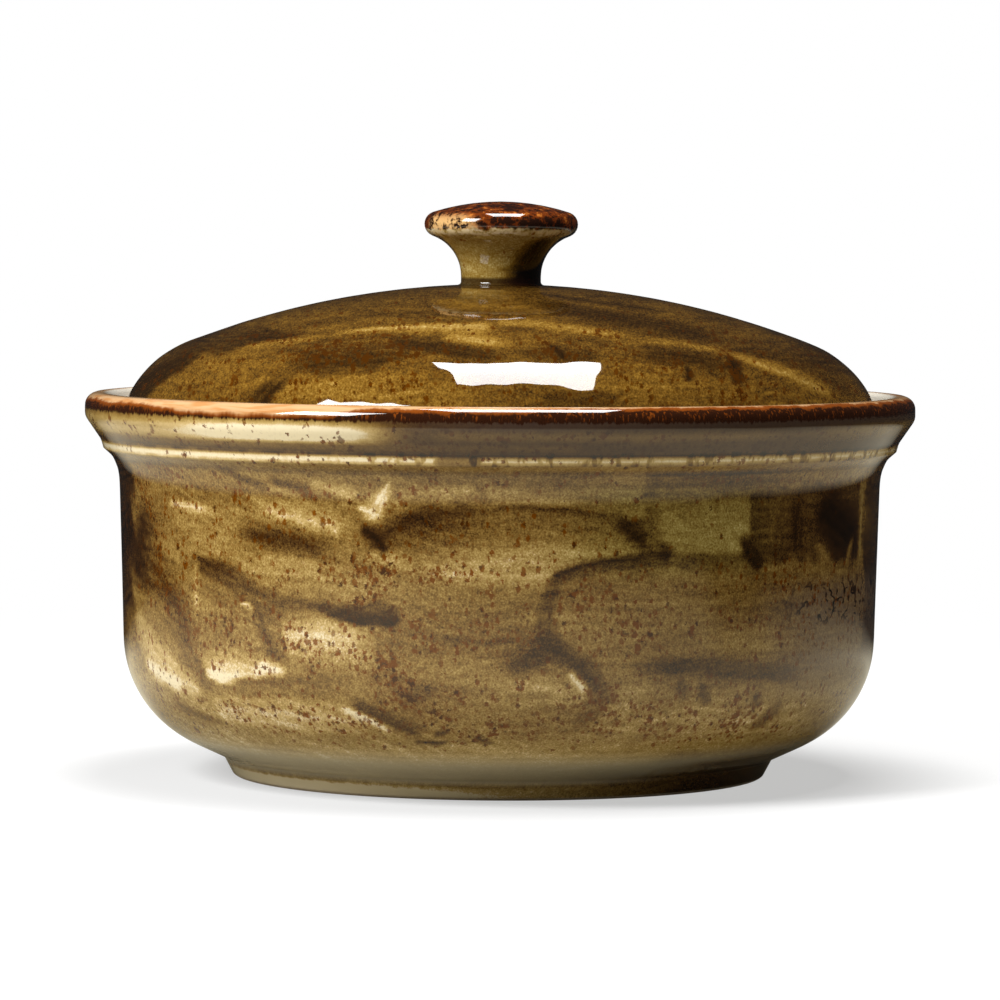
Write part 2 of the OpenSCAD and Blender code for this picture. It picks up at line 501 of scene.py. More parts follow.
def turning_tree():
    """Geometry nodes that turn an outline about Z: they set a ring of points for each of its points."""
    tree = bpy.data.node_groups.new("turned piece", "GeometryNodeTree")
    nodes = Nodes(tree)
    for name, kind in [
        ("Outline", "NodeSocketGeometry"),
        ("Segments", "NodeSocketInt"),
        ("Unevenness", "NodeSocketFloat"),
        ("Wave", "NodeSocketFloat"),
        ("Finish", "NodeSocketMaterial"),
    ]:
        tree.interface.new_socket(name, in_out="INPUT", socket_type=kind)
    tree.interface.new_socket("Piece", in_out="OUTPUT", socket_type="NodeSocketGeometry")
    outline = nodes.node("NodeGroupInput")
    segments = outline.other("Segments")

    # A flat grid with a row of points for each point of the outline
    count = nodes.node("GeometryNodeAttributeDomainSize", {"component": "MESH"}, {"Geometry": outline})
    row = segments + 1
    grid = nodes.node("GeometryNodeMeshGrid", None, {"Vertices X": count, "Vertices Y": row})
    index = nodes.node("GeometryNodeInputIndex")
    ring = nodes.node("ShaderNodeMath", {"operation": "FLOOR"}, {0: (index + 0.5) / row})
    even = (index - ring * row) * math.tau / segments
    gather = nodes.node("ShaderNodeMath", {"operation": "COSINE"}, {0: even}) * -FRONT_GATHER
    turn = even + gather

    def sampled(kind, value):
        """A value of the outline, at the point that each ring is turned from."""
        settings = {"data_type": kind, "domain": "POINT"}
        inputs = {"Geometry": outline, "Value": value, "Index": ring}
        return nodes.node("GeometryNodeSampleIndex", settings, inputs)

    def named(kind, name):
        """A value that is stored at each point of the outline."""
        return nodes.node("GeometryNodeInputNamedAttribute", {"data_type": kind}, {"Name": name})

    def on_circle(vector):
        """A vector of the outline, swung round to each point's own angle."""
        parts = nodes.node("ShaderNodeSeparateXYZ", None, {"Vector": vector})
        cosine = nodes.node("ShaderNodeMath", {"operation": "COSINE"}, {0: turn})
        sine = nodes.node("ShaderNodeMath", {"operation": "SINE"}, {0: turn})
        inputs = {"X": parts * cosine, "Y": parts * sine, "Z": parts.other("Z")}
        return nodes.node("ShaderNodeCombineXYZ", None, inputs)

    # Each point goes to its place, and sinks a little where the glaze lies unevenly
    place = on_circle(sampled("FLOAT_VECTOR", nodes.node("GeometryNodeInputPosition")))
    give = on_circle(sampled("FLOAT_VECTOR", named("FLOAT_VECTOR", "give")))
    inputs = {"Vector": place, "Scale": 1 / outline.other("Wave"), "Detail": 1.0}
    lumps = nodes.node("ShaderNodeTexNoise", None, inputs)
    sink = 0 - lumps * outline.other("Unevenness")
    offset = nodes.node("ShaderNodeVectorMath", {"operation": "SCALE"}, {"Vector": give, "Scale": sink})
    inputs = {"Geometry": grid, "Position": place, "Offset": offset}
    piece = nodes.node("GeometryNodeSetPosition", None, inputs)
    for name in ("height", "shown", "bend"):
        settings = {"data_type": "FLOAT", "domain": "POINT"}
        inputs = {"Geometry": piece, "Name": name, "Value": sampled("FLOAT", named("FLOAT", name))}
        piece = nodes.node("GeometryNodeStoreNamedAttribute", settings, inputs)
    inputs = {"Geometry": piece, "Distance": RING_GAP * MM}
    piece = nodes.node("GeometryNodeMergeByDistance", None, inputs)
    piece = nodes.node("GeometryNodeSetShadeSmooth", None, {"Geometry": piece})
    piece = nodes.node("GeometryNodeRealizeInstances", None, {"Geometry": piece})
    inputs = {"Geometry": piece, "Material": outline.other("Finish")}
    piece = nodes.node("GeometryNodeSetMaterial", None, inputs)
    nodes.node("NodeGroupOutput", None, {"Piece": piece})
    return tree


def store(mesh, label, values):
    """Stores a number for each point of a mesh as an attribute."""
    mesh.attributes.new(label, "FLOAT", "POINT").data.foreach_set("value", np.float32(values))


def turned(name, outline, material, tree):
    """A piece turned from its outline, as a plain mesh at the origin."""
    label = "glazed_" + name
    mesh = bpy.data.meshes.new(label)
    points = outline.points * MM
    flat = np.stack([points[:, 0], np.zeros(len(points)), points[:, 1]], 1)
    mesh.from_pydata(flat.tolist(), [(i, i + 1) for i in range(len(flat) - 1)], [])
    for mark in ("height", "shown", "bend"):
        store(mesh, mark, getattr(outline, mark))
    give = np.zeros((len(points), 3), np.float32)
    uneven = outline.shown * smoothstep(outline.points[:, 0], *EVEN)
    give[:, [0, 2]] = outline.outward * uneven[:, None]
    mesh.attributes.new("give", "FLOAT_VECTOR", "POINT").data.foreach_set("vector", give.ravel())
    piece = bpy.data.objects.new(label, mesh)
    bpy.context.scene.collection.objects.link(piece)
    lathe = piece.modifiers.new("lathe", "NODES")
    lathe.node_group = tree
    values = {
        "Segments": SEGMENTS[name],
        "Unevenness": UNEVENNESS[name] * MM,
        "Wave": WAVE[name] * MM,
        "Finish": material,
    }
    for item in tree.interface.items_tree:
        if item.name in values:
            lathe[item.identifier] = values[item.name]
    graph = bpy.context.evaluated_depsgraph_get()
    shape = piece.evaluated_get(graph)
    made = bpy.data.meshes.new_from_object(shape, preserve_all_data_layers=True, depsgraph=graph)
    piece.modifiers.remove(lathe)
    piece.data = made
    made.name = label
    return piece


# Brush strokes


class Stroke(NamedTuple):
    """One stroke of the brush through three places, each (azimuth, height): its widths there in
    millimetres, its tones on its left and right side from 0, dark, to 1, cream, and how far each edge
    fades, as a share of half its width. Drawn to the right, its left side is the upper one. Each end
    fades over a share of its length, and is round or cut flat."""

    start: tuple
    via: tuple
    end: tuple
    widths: tuple
    tones: tuple
    soft: tuple = (0.9, 0.9)
    ends: tuple = (0.0, 0.0)
    flat: bool = False


def speckled(start, via, end, widths, amount, soft=0.8):
    """A stroke along which specks crowd together: amount is how many there are."""
    return Stroke(start, via, end, widths, (amount, amount), (soft, soft))


def round_lip(azimuths, tones, soft, ends):
    """A stroke along the lip, which it covers from edge to edge."""
    start, via, end = [(azimuth, LIP_MIDDLE) for azimuth in azimuths]
    return Stroke(start, via, end, LIP_WIDTHS, tones, (soft, soft), ends)


# Steps along each stroke, how far its streaks differ in tone and how broad they are, the waves of its
# ragged edge, how a flat end fades, and half the width of the thinnest stroke
STROKE_STEPS = 24
STREAKS = 0.06
STREAK_WIDTH = 2.4
RAGGED_ACROSS = (0.09, 9.0)
RAGGED_UP = (0.07, 6.0)
FLAT_END = (-0.6, 0.8)
LEAST_HALF = 0.2

BODY_STROKES = [
    # Broad fields
    Stroke((-66, 77), (-52, 76), (-40, 77), (6, 6, 5), (0.40, 0.42)),
    Stroke((-62, 66), (-52, 65), (-42, 65), (12, 12, 9), (0.49, 0.57)),
    Stroke((-52, 62), (-44, 61), (-34, 59), (5, 6, 5), (0.56, 0.58)),
    Stroke((-63, 56), (-57, 49), (-54, 42), (10, 11, 8), (0.26, 0.32)),
    Stroke((-46, 42), (-42, 41), (-38, 41), (11, 11, 11), (0.50, 0.56), (0.6, 0.6)),
    Stroke((-38, 57), (-28, 56), (-17, 55), (6, 8, 7), (0.62, 0.58)),
    Stroke((-14, 47), (-4, 46), (5, 46), (13, 14, 14), (0.46, 0.42)),
    Stroke((-46, 21.5), (-34, 21.5), (-22, 20.5), (7, 9, 7), (0.70, 0.76), (0.7, 0.7)),
    Stroke((-16, 31), (-11, 28), (-5, 27), (9, 11, 9), (0.40, 0.42)),
    Stroke((-4, 22), (6, 22), (16, 22), (9, 9, 9), (0.41, 0.43)),
    Stroke((-18, 79), (0, 79.4), (20.4, 79), (6, 7, 8), (0.44, 0.60), (0.7, 0.5), flat=True),
    Stroke((20.8, 80), (32, 80), (52, 81), (8, 8, 7), (0.28, 0.34), (0.7, 0.6), (0, 0.3), True),
    Stroke((9, 50), (18, 50), (29, 50), (13, 14, 12), (0.52, 0.54)),
    Stroke((24, 70), (30, 70), (37.6, 70), (12, 14, 14), (0.58, 0.70), (0.6, 0.5)),
    Stroke((28, 54), (33, 53), (38.5, 52), (9, 12, 12), (0.42, 0.50)),
    Stroke((42, 50), (54, 49), (70, 46), (12, 15, 16), (0.46, 0.38), (0.6, 0.8)),
    Stroke((34, 39), (52, 38), (70, 36), (9, 10, 9), (0.58, 0.44)),
    Stroke((16, 23), (32, 21), (54, 19), (12, 13, 12), (0.54, 0.60)),
    # Painted light: a paler band low on the front of the wall, in place of light bounced up from the floor
    Stroke((-70, 6), (-30, 6), (26, 6), (10, 13, 12), (0.70, 0.74)),
    # Painted shade: low on the right the wall darkens, away from the light
    Stroke((22, 1), (46, 3), (78, 5), (8, 9, 9), (0.44, 0.10), ends=(0.5, 0)),
    # The left side: dark glaze near its edge, darkened further as a painted dark reflection, and pale and
    # dark dabs further in
    Stroke((-94, 78), (-80, 76), (-69, 79), (13, 16, 8), (0.08, 0.14), ends=(0.4, 0.1)),
    Stroke((-96, 56), (-81, 60), (-70, 67), (14, 22, 14), (0.0, 0.06), (0.8, 0.9), (0.4, 0.1)),
    Stroke((-92, 44), (-80, 46), (-72, 50), (8, 11, 8), (0.08, 0.20), ends=(0.4, 0.1)),
    Stroke((-68, 47), (-66, 60), (-63, 75), (15, 15, 11), (0.06, 0.24), (0.7, 0.8), (0.3, 0.3)),
    Stroke((-69, 41), (-62, 33.5), (-53, 26.5), (7, 9, 6), (0.82, 0.76), (0.6, 0.7)),
    Stroke((-66, 31), (-62, 29), (-57, 27), (4, 5, 4), (0.94, 0.92), (0.8, 0.8)),
    Stroke((-59, 47), (-52.5, 36), (-46.5, 26), (5, 5.5, 5), (0.28, 0.32), ends=(0.3, 0.2)),
    Stroke((-62, 21), (-55, 19), (-46, 15.5), (1.8, 3, 2.4), (0.20, 0.28), (0.6, 0.9), (0.3, 0.3)),
    Stroke((-57, 72.8), (-51, 72.4), (-43, 71.4), (1.1, 1.9, 1.3), (0.96, 0.88), ends=(0.1, 0.4)),
    # Folds of dark and pale glaze, upper left
    Stroke((-45, 83.5), (-37, 78.8), (-28.5, 75.2), (1.6, 2.6, 2), (0.24, 0.28), ends=(0.2, 0.3)),
    Stroke((-36, 80.6), (-29, 78), (-21.5, 75.2), (1.4, 2.4, 2.2), (0.26, 0.30), ends=(0.2, 0.3)),
    Stroke((-37, 78.9), (-32.5, 77.3), (-28.4, 76.2), (0.9, 1.4, 1), (0.64, 0.62), ends=(0.3, 0.3)),
    Stroke((-29, 79.8), (-24.5, 78.4), (-20, 76.8), (2.4, 3, 2.4), (0.74, 0.74), ends=(0.3, 0.2)),
    Stroke((-40, 74), (-30, 72), (-21, 69), (2.6, 5, 4), (0.72, 0.90), (0.9, 0.6), (0.3, 0.2)),
    Stroke((-44, 67.2), (-33, 65), (-22.6, 62.6), (3, 5.4, 4.8), (0.14, 0.30), (0.8, 1.0), (0.3, 0.25)),
    Stroke((-38, 61.2), (-31, 59.6), (-25, 58), (2, 3, 2), (0.70, 0.68), ends=(0.3, 0.3)),
    Stroke((-49.4, 58), (-44, 55), (-33, 50), (4.6, 7.2, 5), (0.14, 0.32), (0.5, 1.0), (0.0, 0.5)),
    Stroke((-45, 55), (-34, 51), (-24, 49), (3, 3.6, 3), (0.24, 0.30), ends=(0.2, 0.1)),
    Stroke((-48.5, 52), (-43, 50.4), (-37, 48.6), (3.4, 3.8, 3), (0.36, 0.42)),
    Stroke((-50.2, 44), (-50.3, 52), (-50, 61), (1.4, 1.8, 1.2), (0.74, 0.72), ends=(0.2, 0.2)),
    Stroke((-40.4, 49.4), (-38.5, 48.4), (-37.2, 46.6), (1.0, 1.5, 1.0), (1.0, 0.96), (0.8, 0.8)),
    # The panel below them and its bright foot
    Stroke((-37, 48), (-34, 48.4), (-29, 49.6), (4.4, 4.4, 2.4), (0.32, 0.38), ends=(0, 0.4)),
    Stroke((-37.4, 49), (-36, 42), (-33.6, 34.6), (2.4, 3, 4), (0.32, 0.28), (0.8, 0.8)),
    Stroke((-46, 32.4), (-40, 32.1), (-33.8, 32.6), (7.8, 7.4, 3.4), (0.80, 0.97), (0.8, 0.15)),
    Stroke((-39, 33.6), (-36, 33.4), (-33.2, 33), (3, 4, 1.8), (0.98, 0.98), (0.8, 0.4), (0.4, 0)),
    Stroke((-45, 27.8), (-33, 29.4), (-18, 30.6), (3, 5, 6), (0.34, 0.38), (0.5, 1.0), (0.2, 0.3)),
    Stroke((-33, 40.5), (-26, 41.6), (-15, 39.6), (8, 9, 8), (0.90, 0.82), (0.6, 0.9), (0.1, 0.3)),
    Stroke((-30, 50.4), (-21.6, 48), (-15.5, 47.6), (1.4, 4.2, 4.8), (0.18, 0.08), (0.5, 0.3), (0.4, 0)),
    Stroke((-20, 49.2), (-17.8, 50.2), (-16, 52.4), (2, 2.2, 1.6), (0.16, 0.26), ends=(0.1, 0.5)),
    Stroke((-24.6, 24.8), (-20, 21.4), (-15.8, 16.8), (1.4, 2.2, 1.6), (0.96, 0.90), (0.6, 0.9), (0.2, 0.2)),
    Stroke((-23, 27.6), (-16.4, 22), (-10.6, 17), (3.4, 4.6, 4), (0.26, 0.06), (1.0, 0.4), (0.2, 0.2)),
    Stroke((-12.6, 15), (-10.4, 14.4), (-8.4, 14.6), (1.0, 1.6, 1.2), (0.08, 0.08), (0.8, 0.8)),
    Stroke((-9.6, 16.8), (-8.8, 17.6), (-7.8, 18.2), (1.2, 1.8, 1.2), (0.12, 0.16)),
    Stroke((-3, 16.4), (-2.4, 15.6), (-1.2, 14.8), (1.0, 1.5, 1.0), (0.12, 0.14)),
    Stroke((-15, 26), (-11.5, 28.6), (-8, 31), (1.8, 2.8, 1.8), (0.24, 0.26), ends=(0.3, 0.3)),
    # The flick and the long dab in the middle
    Stroke((-15.8, 80), (-16.8, 76.6), (-18.2, 73), (1.0, 2.8, 4.6), (0.98, 0.94), (0.7, 0.8)),
    Stroke((-20, 74.2), (-19, 73.4), (-17.8, 72.4), (1.6, 2.4, 2.4), (0.86, 0.9), (0.9, 0.8)),
    Stroke((-16, 64.6), (-2, 67.4), (19.6, 66.2), (9, 15, 11), (0.30, 0.72), (0.16, 0.8)),
    Stroke((-12, 59.6), (1, 59), (14, 59.8), (4, 6, 4), (0.70, 0.80), (0.9, 0.8), (0.2, 0.2)),
    Stroke((-16.4, 64), (-10, 69), (2, 72.4), (7, 12, 7), (0.18, 0.40), (0.4, 1.0), (0.1, 0.3)),
    Stroke((-3, 73.8), (8, 73), (18.6, 70), (3, 3.4, 3), (0.24, 0.42), (0.5, 1.0), (0.2, 0.1)),
    Stroke((-19.4, 68.4), (-18, 67), (-16.6, 64.2), (3, 4.6, 2.8), (0.06, 0.08), (0.8, 0.8)),
    Stroke((-3, 79), (-2.4, 77.6), (-1.8, 76), (2.4, 3, 2.4), (0.34, 0.34)),
    # The forked stem
    Stroke((8.6, 57.4), (6.9, 49.6), (7.2, 41.4), (3.4, 4, 6.2), (0.28, 0.20), (0.8, 0.8)),
    Stroke((7.6, 40.4), (3.8, 37.2), (0.4, 34.4), (5, 5.6, 4.4), (0.18, 0.24), (0.8, 0.9), (0, 0.3)),
    Stroke((7.6, 40.2), (11.8, 35.6), (15, 29), (5.2, 5, 5.4), (0.16, 0.18), (0.9, 0.5)),
    Stroke((15, 28.4), (13.6, 24), (10.4, 20), (4, 4.4, 5), (0.24, 0.26), ends=(0, 0.3)),
    Stroke((10.0, 34.6), (11.3, 31.8), (13.4, 28.4), (1.4, 2.1, 1.4), (0.94, 0.90), (0.6, 0.9), (0.1, 0.3)),
    Stroke((0, 31.2), (5, 31), (9.6, 30.6), (2.6, 3.8, 3), (0.60, 0.62), ends=(0.2, 0.1)),
    Stroke((0, 28.6), (4.5, 28.4), (9, 28.2), (1.0, 1.4, 1.0), (0.38, 0.38), ends=(0.3, 0.3)),
    # The dab on the right and its dark edges; beyond it, a painted reflection of a dark window with a pale
    # line at its right edge; and painted shade down the right side
    Stroke((7.4, 55.8), (15, 59.8), (28, 61.2), (3.4, 5, 4), (0.12, 0.38), (0.4, 1.0), (0.1, 0.3)),
    Stroke((25, 60.4), (32, 60.4), (39, 60), (4, 4.4, 4.6), (0.26, 0.36), (0.5, 1.0), (0.2, 0)),
    Stroke((17.8, 70), (20, 67), (24.4, 62.6), (3.2, 4.6, 4), (0.05, 0.14), (0.8, 0.9)),
    Stroke((22.4, 63), (22.4, 70), (22, 77), (4, 4, 3), (0.32, 0.42), (0.5, 1.0), (0.1, 0.3)),
    # Painted reflection: a dark window, with dark and golden marks in it
    Stroke((38.6, 69), (52, 69.4), (67.4, 69.4), (16.5, 18.5, 19.5), (0.24, 0.20), (0.1, 0.14), flat=True),
    Stroke((43, 64), (44, 70), (45, 77), (4, 5, 4), (0.30, 0.26), ends=(0.1, 0.1)),
    Stroke((49, 62), (48.6, 68), (48.2, 76), (3, 3.4, 3), (0.08, 0.10), ends=(0.1, 0.2)),
    Stroke((52, 74), (58, 70), (63.6, 65), (6, 12, 12), (0.02, 0.02), ends=(0.3, 0)),
    Stroke((37.4, 68), (38.4, 64), (40.4, 60), (2, 3.4, 4), (0.08, 0.05), (0.8, 0.8), (0.3, 0)),
    Stroke((53, 64), (55.4, 61), (59, 56.6), (1.6, 2.6, 2.4), (0.50, 0.40), ends=(0.3, 0.3)),
    Stroke((65.4, 66), (64, 61), (62.6, 56), (1.2, 2.4, 2.2), (0.54, 0.48), ends=(0.4, 0.2)),
    # Painted shade: dark down the right side, away from the light
    Stroke((70, 78), (79, 76), (94, 79), (10, 14, 10), (0.22, 0.16), ends=(0.1, 0.4)),
    Stroke((70, 58), (79, 60), (96, 57), (18, 21, 14), (0.20, 0.10), (0.8, 0.9), (0.1, 0.4)),
    Stroke((71, 42), (79, 43), (92, 46), (10, 12, 8), (0.26, 0.16), ends=(0.1, 0.4)),
    # Painted reflection: the pale line at the window's right edge
    Stroke((68.6, 60), (68.8, 68), (69, 78), (1.0, 1.3, 1.0), (0.70, 0.64), (0.8, 0.8)),
    Stroke((17, 35), (33, 34), (54, 29.6), (3, 4.6, 3.6), (0.16, 0.22), (0.7, 1.0), (0.3, 0.15)),
    Stroke((27.2, 30.4), (27.7, 29.4), (28.2, 28.4), (2.4, 3, 2.4), (0.24, 0.24)),
    Stroke((31, 29.6), (31.6, 27.8), (32.2, 26), (2, 3, 2.6), (0.20, 0.20)),
    Stroke((41.6, 26.8), (42, 25.4), (42.2, 24), (2.2, 2.8, 2.2), (0.20, 0.20)),
    Stroke((47, 22.6), (45.4, 20), (42.4, 16), (4.4, 3.8, 3), (0.20, 0.20), ends=(0, 0.3)),
    # The foot ring: painted shade in its corner and down its right side, and pale at its edge, where the
    # glaze break is painted brighter on the left as painted light
    Stroke((-86, -9), (-10, -9), (70, -9), (4, 4, 5), (0.46, 0.40)),
    Stroke((-86, -12.4), (-36, -12.2), (34, -12.2), (5.2, 5.6, 4), (1.25, 1.25), (0.6, 0.6), (0, 0.5)),
    Stroke((6, -8.4), (46, -8.4), (86, -8.4), (7, 11, 13), (0.10, 0.02), (0.6, 0.6), (0.55, 0)),
    # The moulding: cream on the ridge and, on the left, above its hollow, where the cream glaze is painted
    # brighter as painted light from the left
    Stroke((-84, 94.4), (-50, 94.6), (-8, 94.8), (6, 6.2, 5), (0.74, 0.86), (0.5, 0.6), (0, 0.22)),
    # Painted highlight: the brightest cream, where the left light catches the moulding
    Stroke((-54, 94.6), (-32, 94.6), (-11, 94.6), (3, 5, 4), (1.12, 1.12), ends=(0.35, 0.25)),
    Stroke((-84, 90.3), (-40, 90.4), (10, 90.5), (2, 2.4, 2.6), (0.36, 0.24), (0.8, 0.8)),
    Stroke((-12, 94.3), (12, 94.1), (50, 93.9), (1.8, 2.4, 2.4), (0.50, 0.42), ends=(0.2, 0.2)),
    Stroke((40, 94.4), (60, 94.6), (84, 94.8), (3, 4, 5), (0.52, 0.56), ends=(0.4, 0)),
    Stroke((110, 94.6), (135, 94.8), (160, 94.8), (4, 5, 4), (0.86, 0.92), (0.6, 0.6), (0.3, 0.3)),
    Stroke((196, 94.6), (222, 94.8), (250, 94.8), (4, 5, 4), (0.86, 0.92), (0.6, 0.6), (0.3, 0.3)),
    Stroke((-85, 87.3), (-45, 87.3), (-7, 87.3), (2.5, 2.4, 2.0), (0.98, 1.0), (0.4, 0.4)),
    Stroke((-8, 87.2), (-4, 87.2), (-1, 87.2), (2.2, 2.0, 2.0), (0.50, 0.46), (0.5, 0.5)),
    Stroke((-2, 87.3), (40, 87.3), (85, 87.3), (1.8, 1.9, 2.1), (0.88, 0.94), (0.4, 0.4)),
    Stroke((80, 87.3), (130, 87.3), (180, 87.3), (2.1, 2.1, 2.1), (0.90, 0.94), (0.4, 0.4)),
    Stroke((180, 87.3), (230, 87.3), (280, 87.3), (2.1, 2.1, 2.1), (0.92, 0.96), (0.4, 0.4)),
]

LID_STROKES = [
    # Broad fields
    Stroke((-84, 40), (-10, 38), (70, 40), (24, 26, 26), (0.36, 0.34)),
    Stroke((-50, 60), (-20, 55), (10, 57), (4, 6, 4), (0.24, 0.30), ends=(0.3, 0.3)),
    Stroke((-70, 46), (-30, 44), (0, 46), (3, 4, 3), (0.42, 0.42), ends=(0.3, 0.3)),
    Stroke((-78, 82), (-64, 81), (-50, 78), (14, 16, 12), (0.18, 0.20), (0.8, 0.8)),
    Stroke((-58, 97), (-50, 95), (-40, 94), (14, 14, 14), (0.45, 0.44), (0.8, 0.8)),
    Stroke((-34, 100), (-22, 99), (-8, 99), (9, 10, 10), (0.56, 0.54)),
    Stroke((8, 96), (22, 96), (36, 95), (13, 14, 13), (0.44, 0.44)),
    Stroke((50, 84), (62, 86), (80, 88), (14, 16, 14), (0.22, 0.26), (0.8, 0.8)),
    Stroke((44, 100), (54, 103), (66, 107), (8, 8, 8), (0.42, 0.40)),
    # Left: the dark edge, a pale sweep, and the dark fold under it
    Stroke((-66, 92), (-72, 98), (-80, 106), (12, 15, 16), (0.08, 0.12), (0.9, 0.2)),
    Stroke((-68, 84), (-58, 85), (-50, 88), (4, 6, 4), (0.12, 0.18), ends=(0.2, 0.4)),
    Stroke((-64, 75), (-50, 76), (-41, 78), (4, 6, 4), (0.14, 0.22), ends=(0.3, 0.3)),
    Stroke((-54, 86), (-45, 80.4), (-35, 75), (4, 5, 4), (0.64, 0.68), (0.8, 0.8), (0.3, 0.2)),
    Stroke((-40, 92), (-26, 85), (-10, 87), (10, 18, 12), (0.12, 0.38), (0.4, 1.0), (0.3, 0.3)),
    Stroke((-22, 76), (-11, 79), (4, 87), (7, 11, 8), (0.12, 0.34), (0.4, 1.0), (0.2, 0.2)),
    Stroke((-36, 74.6), (-20, 68.4), (0, 69), (4, 6, 9), (0.64, 0.86), (0.9, 0.6), (0.2, 0.1)),
    Stroke((-12, 72), (-4, 76), (4, 80), (5, 7, 6), (0.84, 0.66), ends=(0.2, 0.4)),
    Stroke((-39, 107), (-37.4, 100), (-33, 89), (6, 5.4, 5), (0.08, 0.20), (0.7, 0.9), (0, 0.5)),
    Stroke((-18, 92), (-14, 90), (-10, 88), (4, 5, 4), (0.40, 0.40)),
    # Right: a dark sweep over a pale one, and a pale painted reflection along the shoulder
    Stroke((6, 38), (28, 58), (54, 78), (12, 16, 14), (0.14, 0.16), (0.8, 0.6), (0.3, 0.2)),
    Stroke((16, 28), (34, 42), (60, 56), (6, 7, 6), (0.16, 0.20), ends=(0.3, 0.3)),
    Stroke((-2, 63), (12, 66), (28, 75), (5, 6, 4), (0.70, 0.72), (0.7, 0.9), (0.1, 0.3)),
    Stroke((26, 74), (36, 80), (44, 86), (4, 5, 4), (0.62, 0.60), ends=(0.3, 0.3)),
    Stroke((20, 84), (32, 87), (44, 93), (7, 9, 8), (0.16, 0.20), ends=(0.3, 0.3)),
    # Painted reflection: a pale sheen along the right shoulder
    Stroke((42, 84), (52, 94), (66, 104), (4, 5, 5), (0.78, 0.70), (0.7, 0.9), (0.2, 0.3)),
    Stroke((0, 84), (10, 85), (20, 87), (6, 9, 6), (0.20, 0.26), ends=(0.3, 0.3)),
    Stroke((9.2, 80), (10, 83), (10.6, 87), (1.4, 2.4, 1.6), (0.06, 0.08)),
    Stroke((18, 76), (19, 78), (20, 80), (2.4, 3.4, 2.4), (0.28, 0.28)),
    Stroke((42.4, 86), (41, 92), (39, 98.4), (1.4, 2.8, 2.2), (0.02, 0.04), ends=(0.2, 0.1)),
    Stroke((31.4, 92), (31, 94), (30.2, 96), (1.4, 2, 1.4), (0.08, 0.10)),
    Stroke((8, 102), (12, 102), (16, 102), (5, 6, 5), (0.24, 0.24)),
]

# Where rust specks crowd together or, below 0, keep away
BODY_SPECKS = [
    speckled((-66, 80), (-62, 68), (-61, 55), (5, 6, 6), 1.0),
    speckled((-56, 76), (-48, 68), (-42, 63), (9, 11, 9), 0.45),
    speckled((-60, 54), (-55, 47), (-50, 38), (7, 9, 6), 0.9),
    speckled((-46, 45), (-42, 40), (-37, 31), (9, 10, 7), 0.65),
    speckled((-31, 40), (-25, 38), (-19, 37), (8, 9, 8), 0.8),
    speckled((-46, 21), (-34, 20), (-20, 19), (6, 8, 7), 0.9, 0.7),
    speckled((-25, 57), (-15, 58), (-5, 59), (6, 6, 4), 0.9),
    speckled((-17, 35), (-12, 29), (-6, 20), (9, 12, 10), 1.0),
    speckled((-6, 20), (4, 20), (17, 21), (7, 7, 8), 0.8),
    speckled((-14, 46), (-4, 42), (4, 42), (7, 8, 7), 0.5),
    Stroke((-22, 50), (-18, 54), (-15.6, 60), (3, 4, 4), (1.2, 1.1)),
    speckled((12, 52), (19, 46), (27, 42), (11, 13, 10), 0.75),
    speckled((16, 28), (28, 22), (46, 19), (10, 11, 8), 0.85),
    speckled((45, 54), (54, 50), (65, 47), (6, 9, 7), 0.5, 0.7),
    speckled((36, 46), (44, 42), (52, 40), (6, 7, 6), 0.6),
    speckled((-84, 92), (-48, 92), (-14, 93), (8, 9, 8), 0.05),
    speckled((-16, 93), (24, 92), (70, 92), (8, 9, 8), 0.7),
    speckled((-14, 29), (-10.5, 25), (-7.5, 19), (6, 8, 5), 1.1, 0.9),
    Stroke((-88, -3), (0, -3), (88, -3), (28, 28, 28), (-0.6, -0.6), (0.3, 0.1)),
    # Fewer specks over the painted reflection of the window
    speckled((23, 69), (45, 69), (67, 69), (14, 16, 18), -0.3, 0.5),
    speckled((-2, 69), (8, 69), (18, 68), (8, 9, 8), -0.2),
]
LID_SPECKS = [
    speckled((-36, 86), (-26, 83), (-12, 85), (10, 14, 9), 0.9),
    speckled((43, 84), (41, 92), (38, 102), (5, 7, 6), 1.1, 0.9),
    speckled((8, 78), (10, 83), (12, 88), (5, 7, 5), 1.1, 0.9),
    speckled((-33, 88), (-27, 84), (-20, 82), (7, 9, 6), 1.06, 0.9),
    speckled((-54, 75), (-48, 76), (-42, 78), (6, 7, 6), 0.9),
    speckled((24, 84), (30, 90), (32, 97), (7, 8, 7), 0.6),
    speckled((-30, 98), (-22, 96), (-14, 98), (6, 7, 6), 0.4),
    speckled((-80, 40), (0, 40), (80, 44), (40, 44, 40), -0.2, 0.5),
]

# The knob: its dark side, painted shade away from the light, and where its cap breaks to cream or, below 0,
# is burnt darker
KNOB_STROKES = [
    # Painted shade: the knob's side away from the light
    Stroke((46, 6), (52, 16), (76, 27), (17, 14, 10), (0.0, 0.0), (0.5, 0.5)),
    Stroke((200, 10), (215, 18), (230, 26), (8, 9, 8), (0.3, 0.3), (0.8, 0.8)),
]
KNOB_PALE = [
    Stroke((-72, 29.6), (-46, 29.6), (-12, 29.6), (6, 7, 5), (1.2, 1.2), (0.7, 0.7), (0.2, 0.3)),
    Stroke((130, 30), (155, 30), (180, 30), (5, 6, 4), (1.0, 1.0), (0.7, 0.7), (0.2, 0.3)),
    Stroke((-8, 31), (20, 31.4), (60, 31), (3, 4, 3), (-0.5, -0.5), ends=(0.2, 0.3)),
    Stroke((-6, 41), (14, 41), (40, 41), (4, 5, 4), (-0.8, -0.8), ends=(0.3, 0.3)),
]

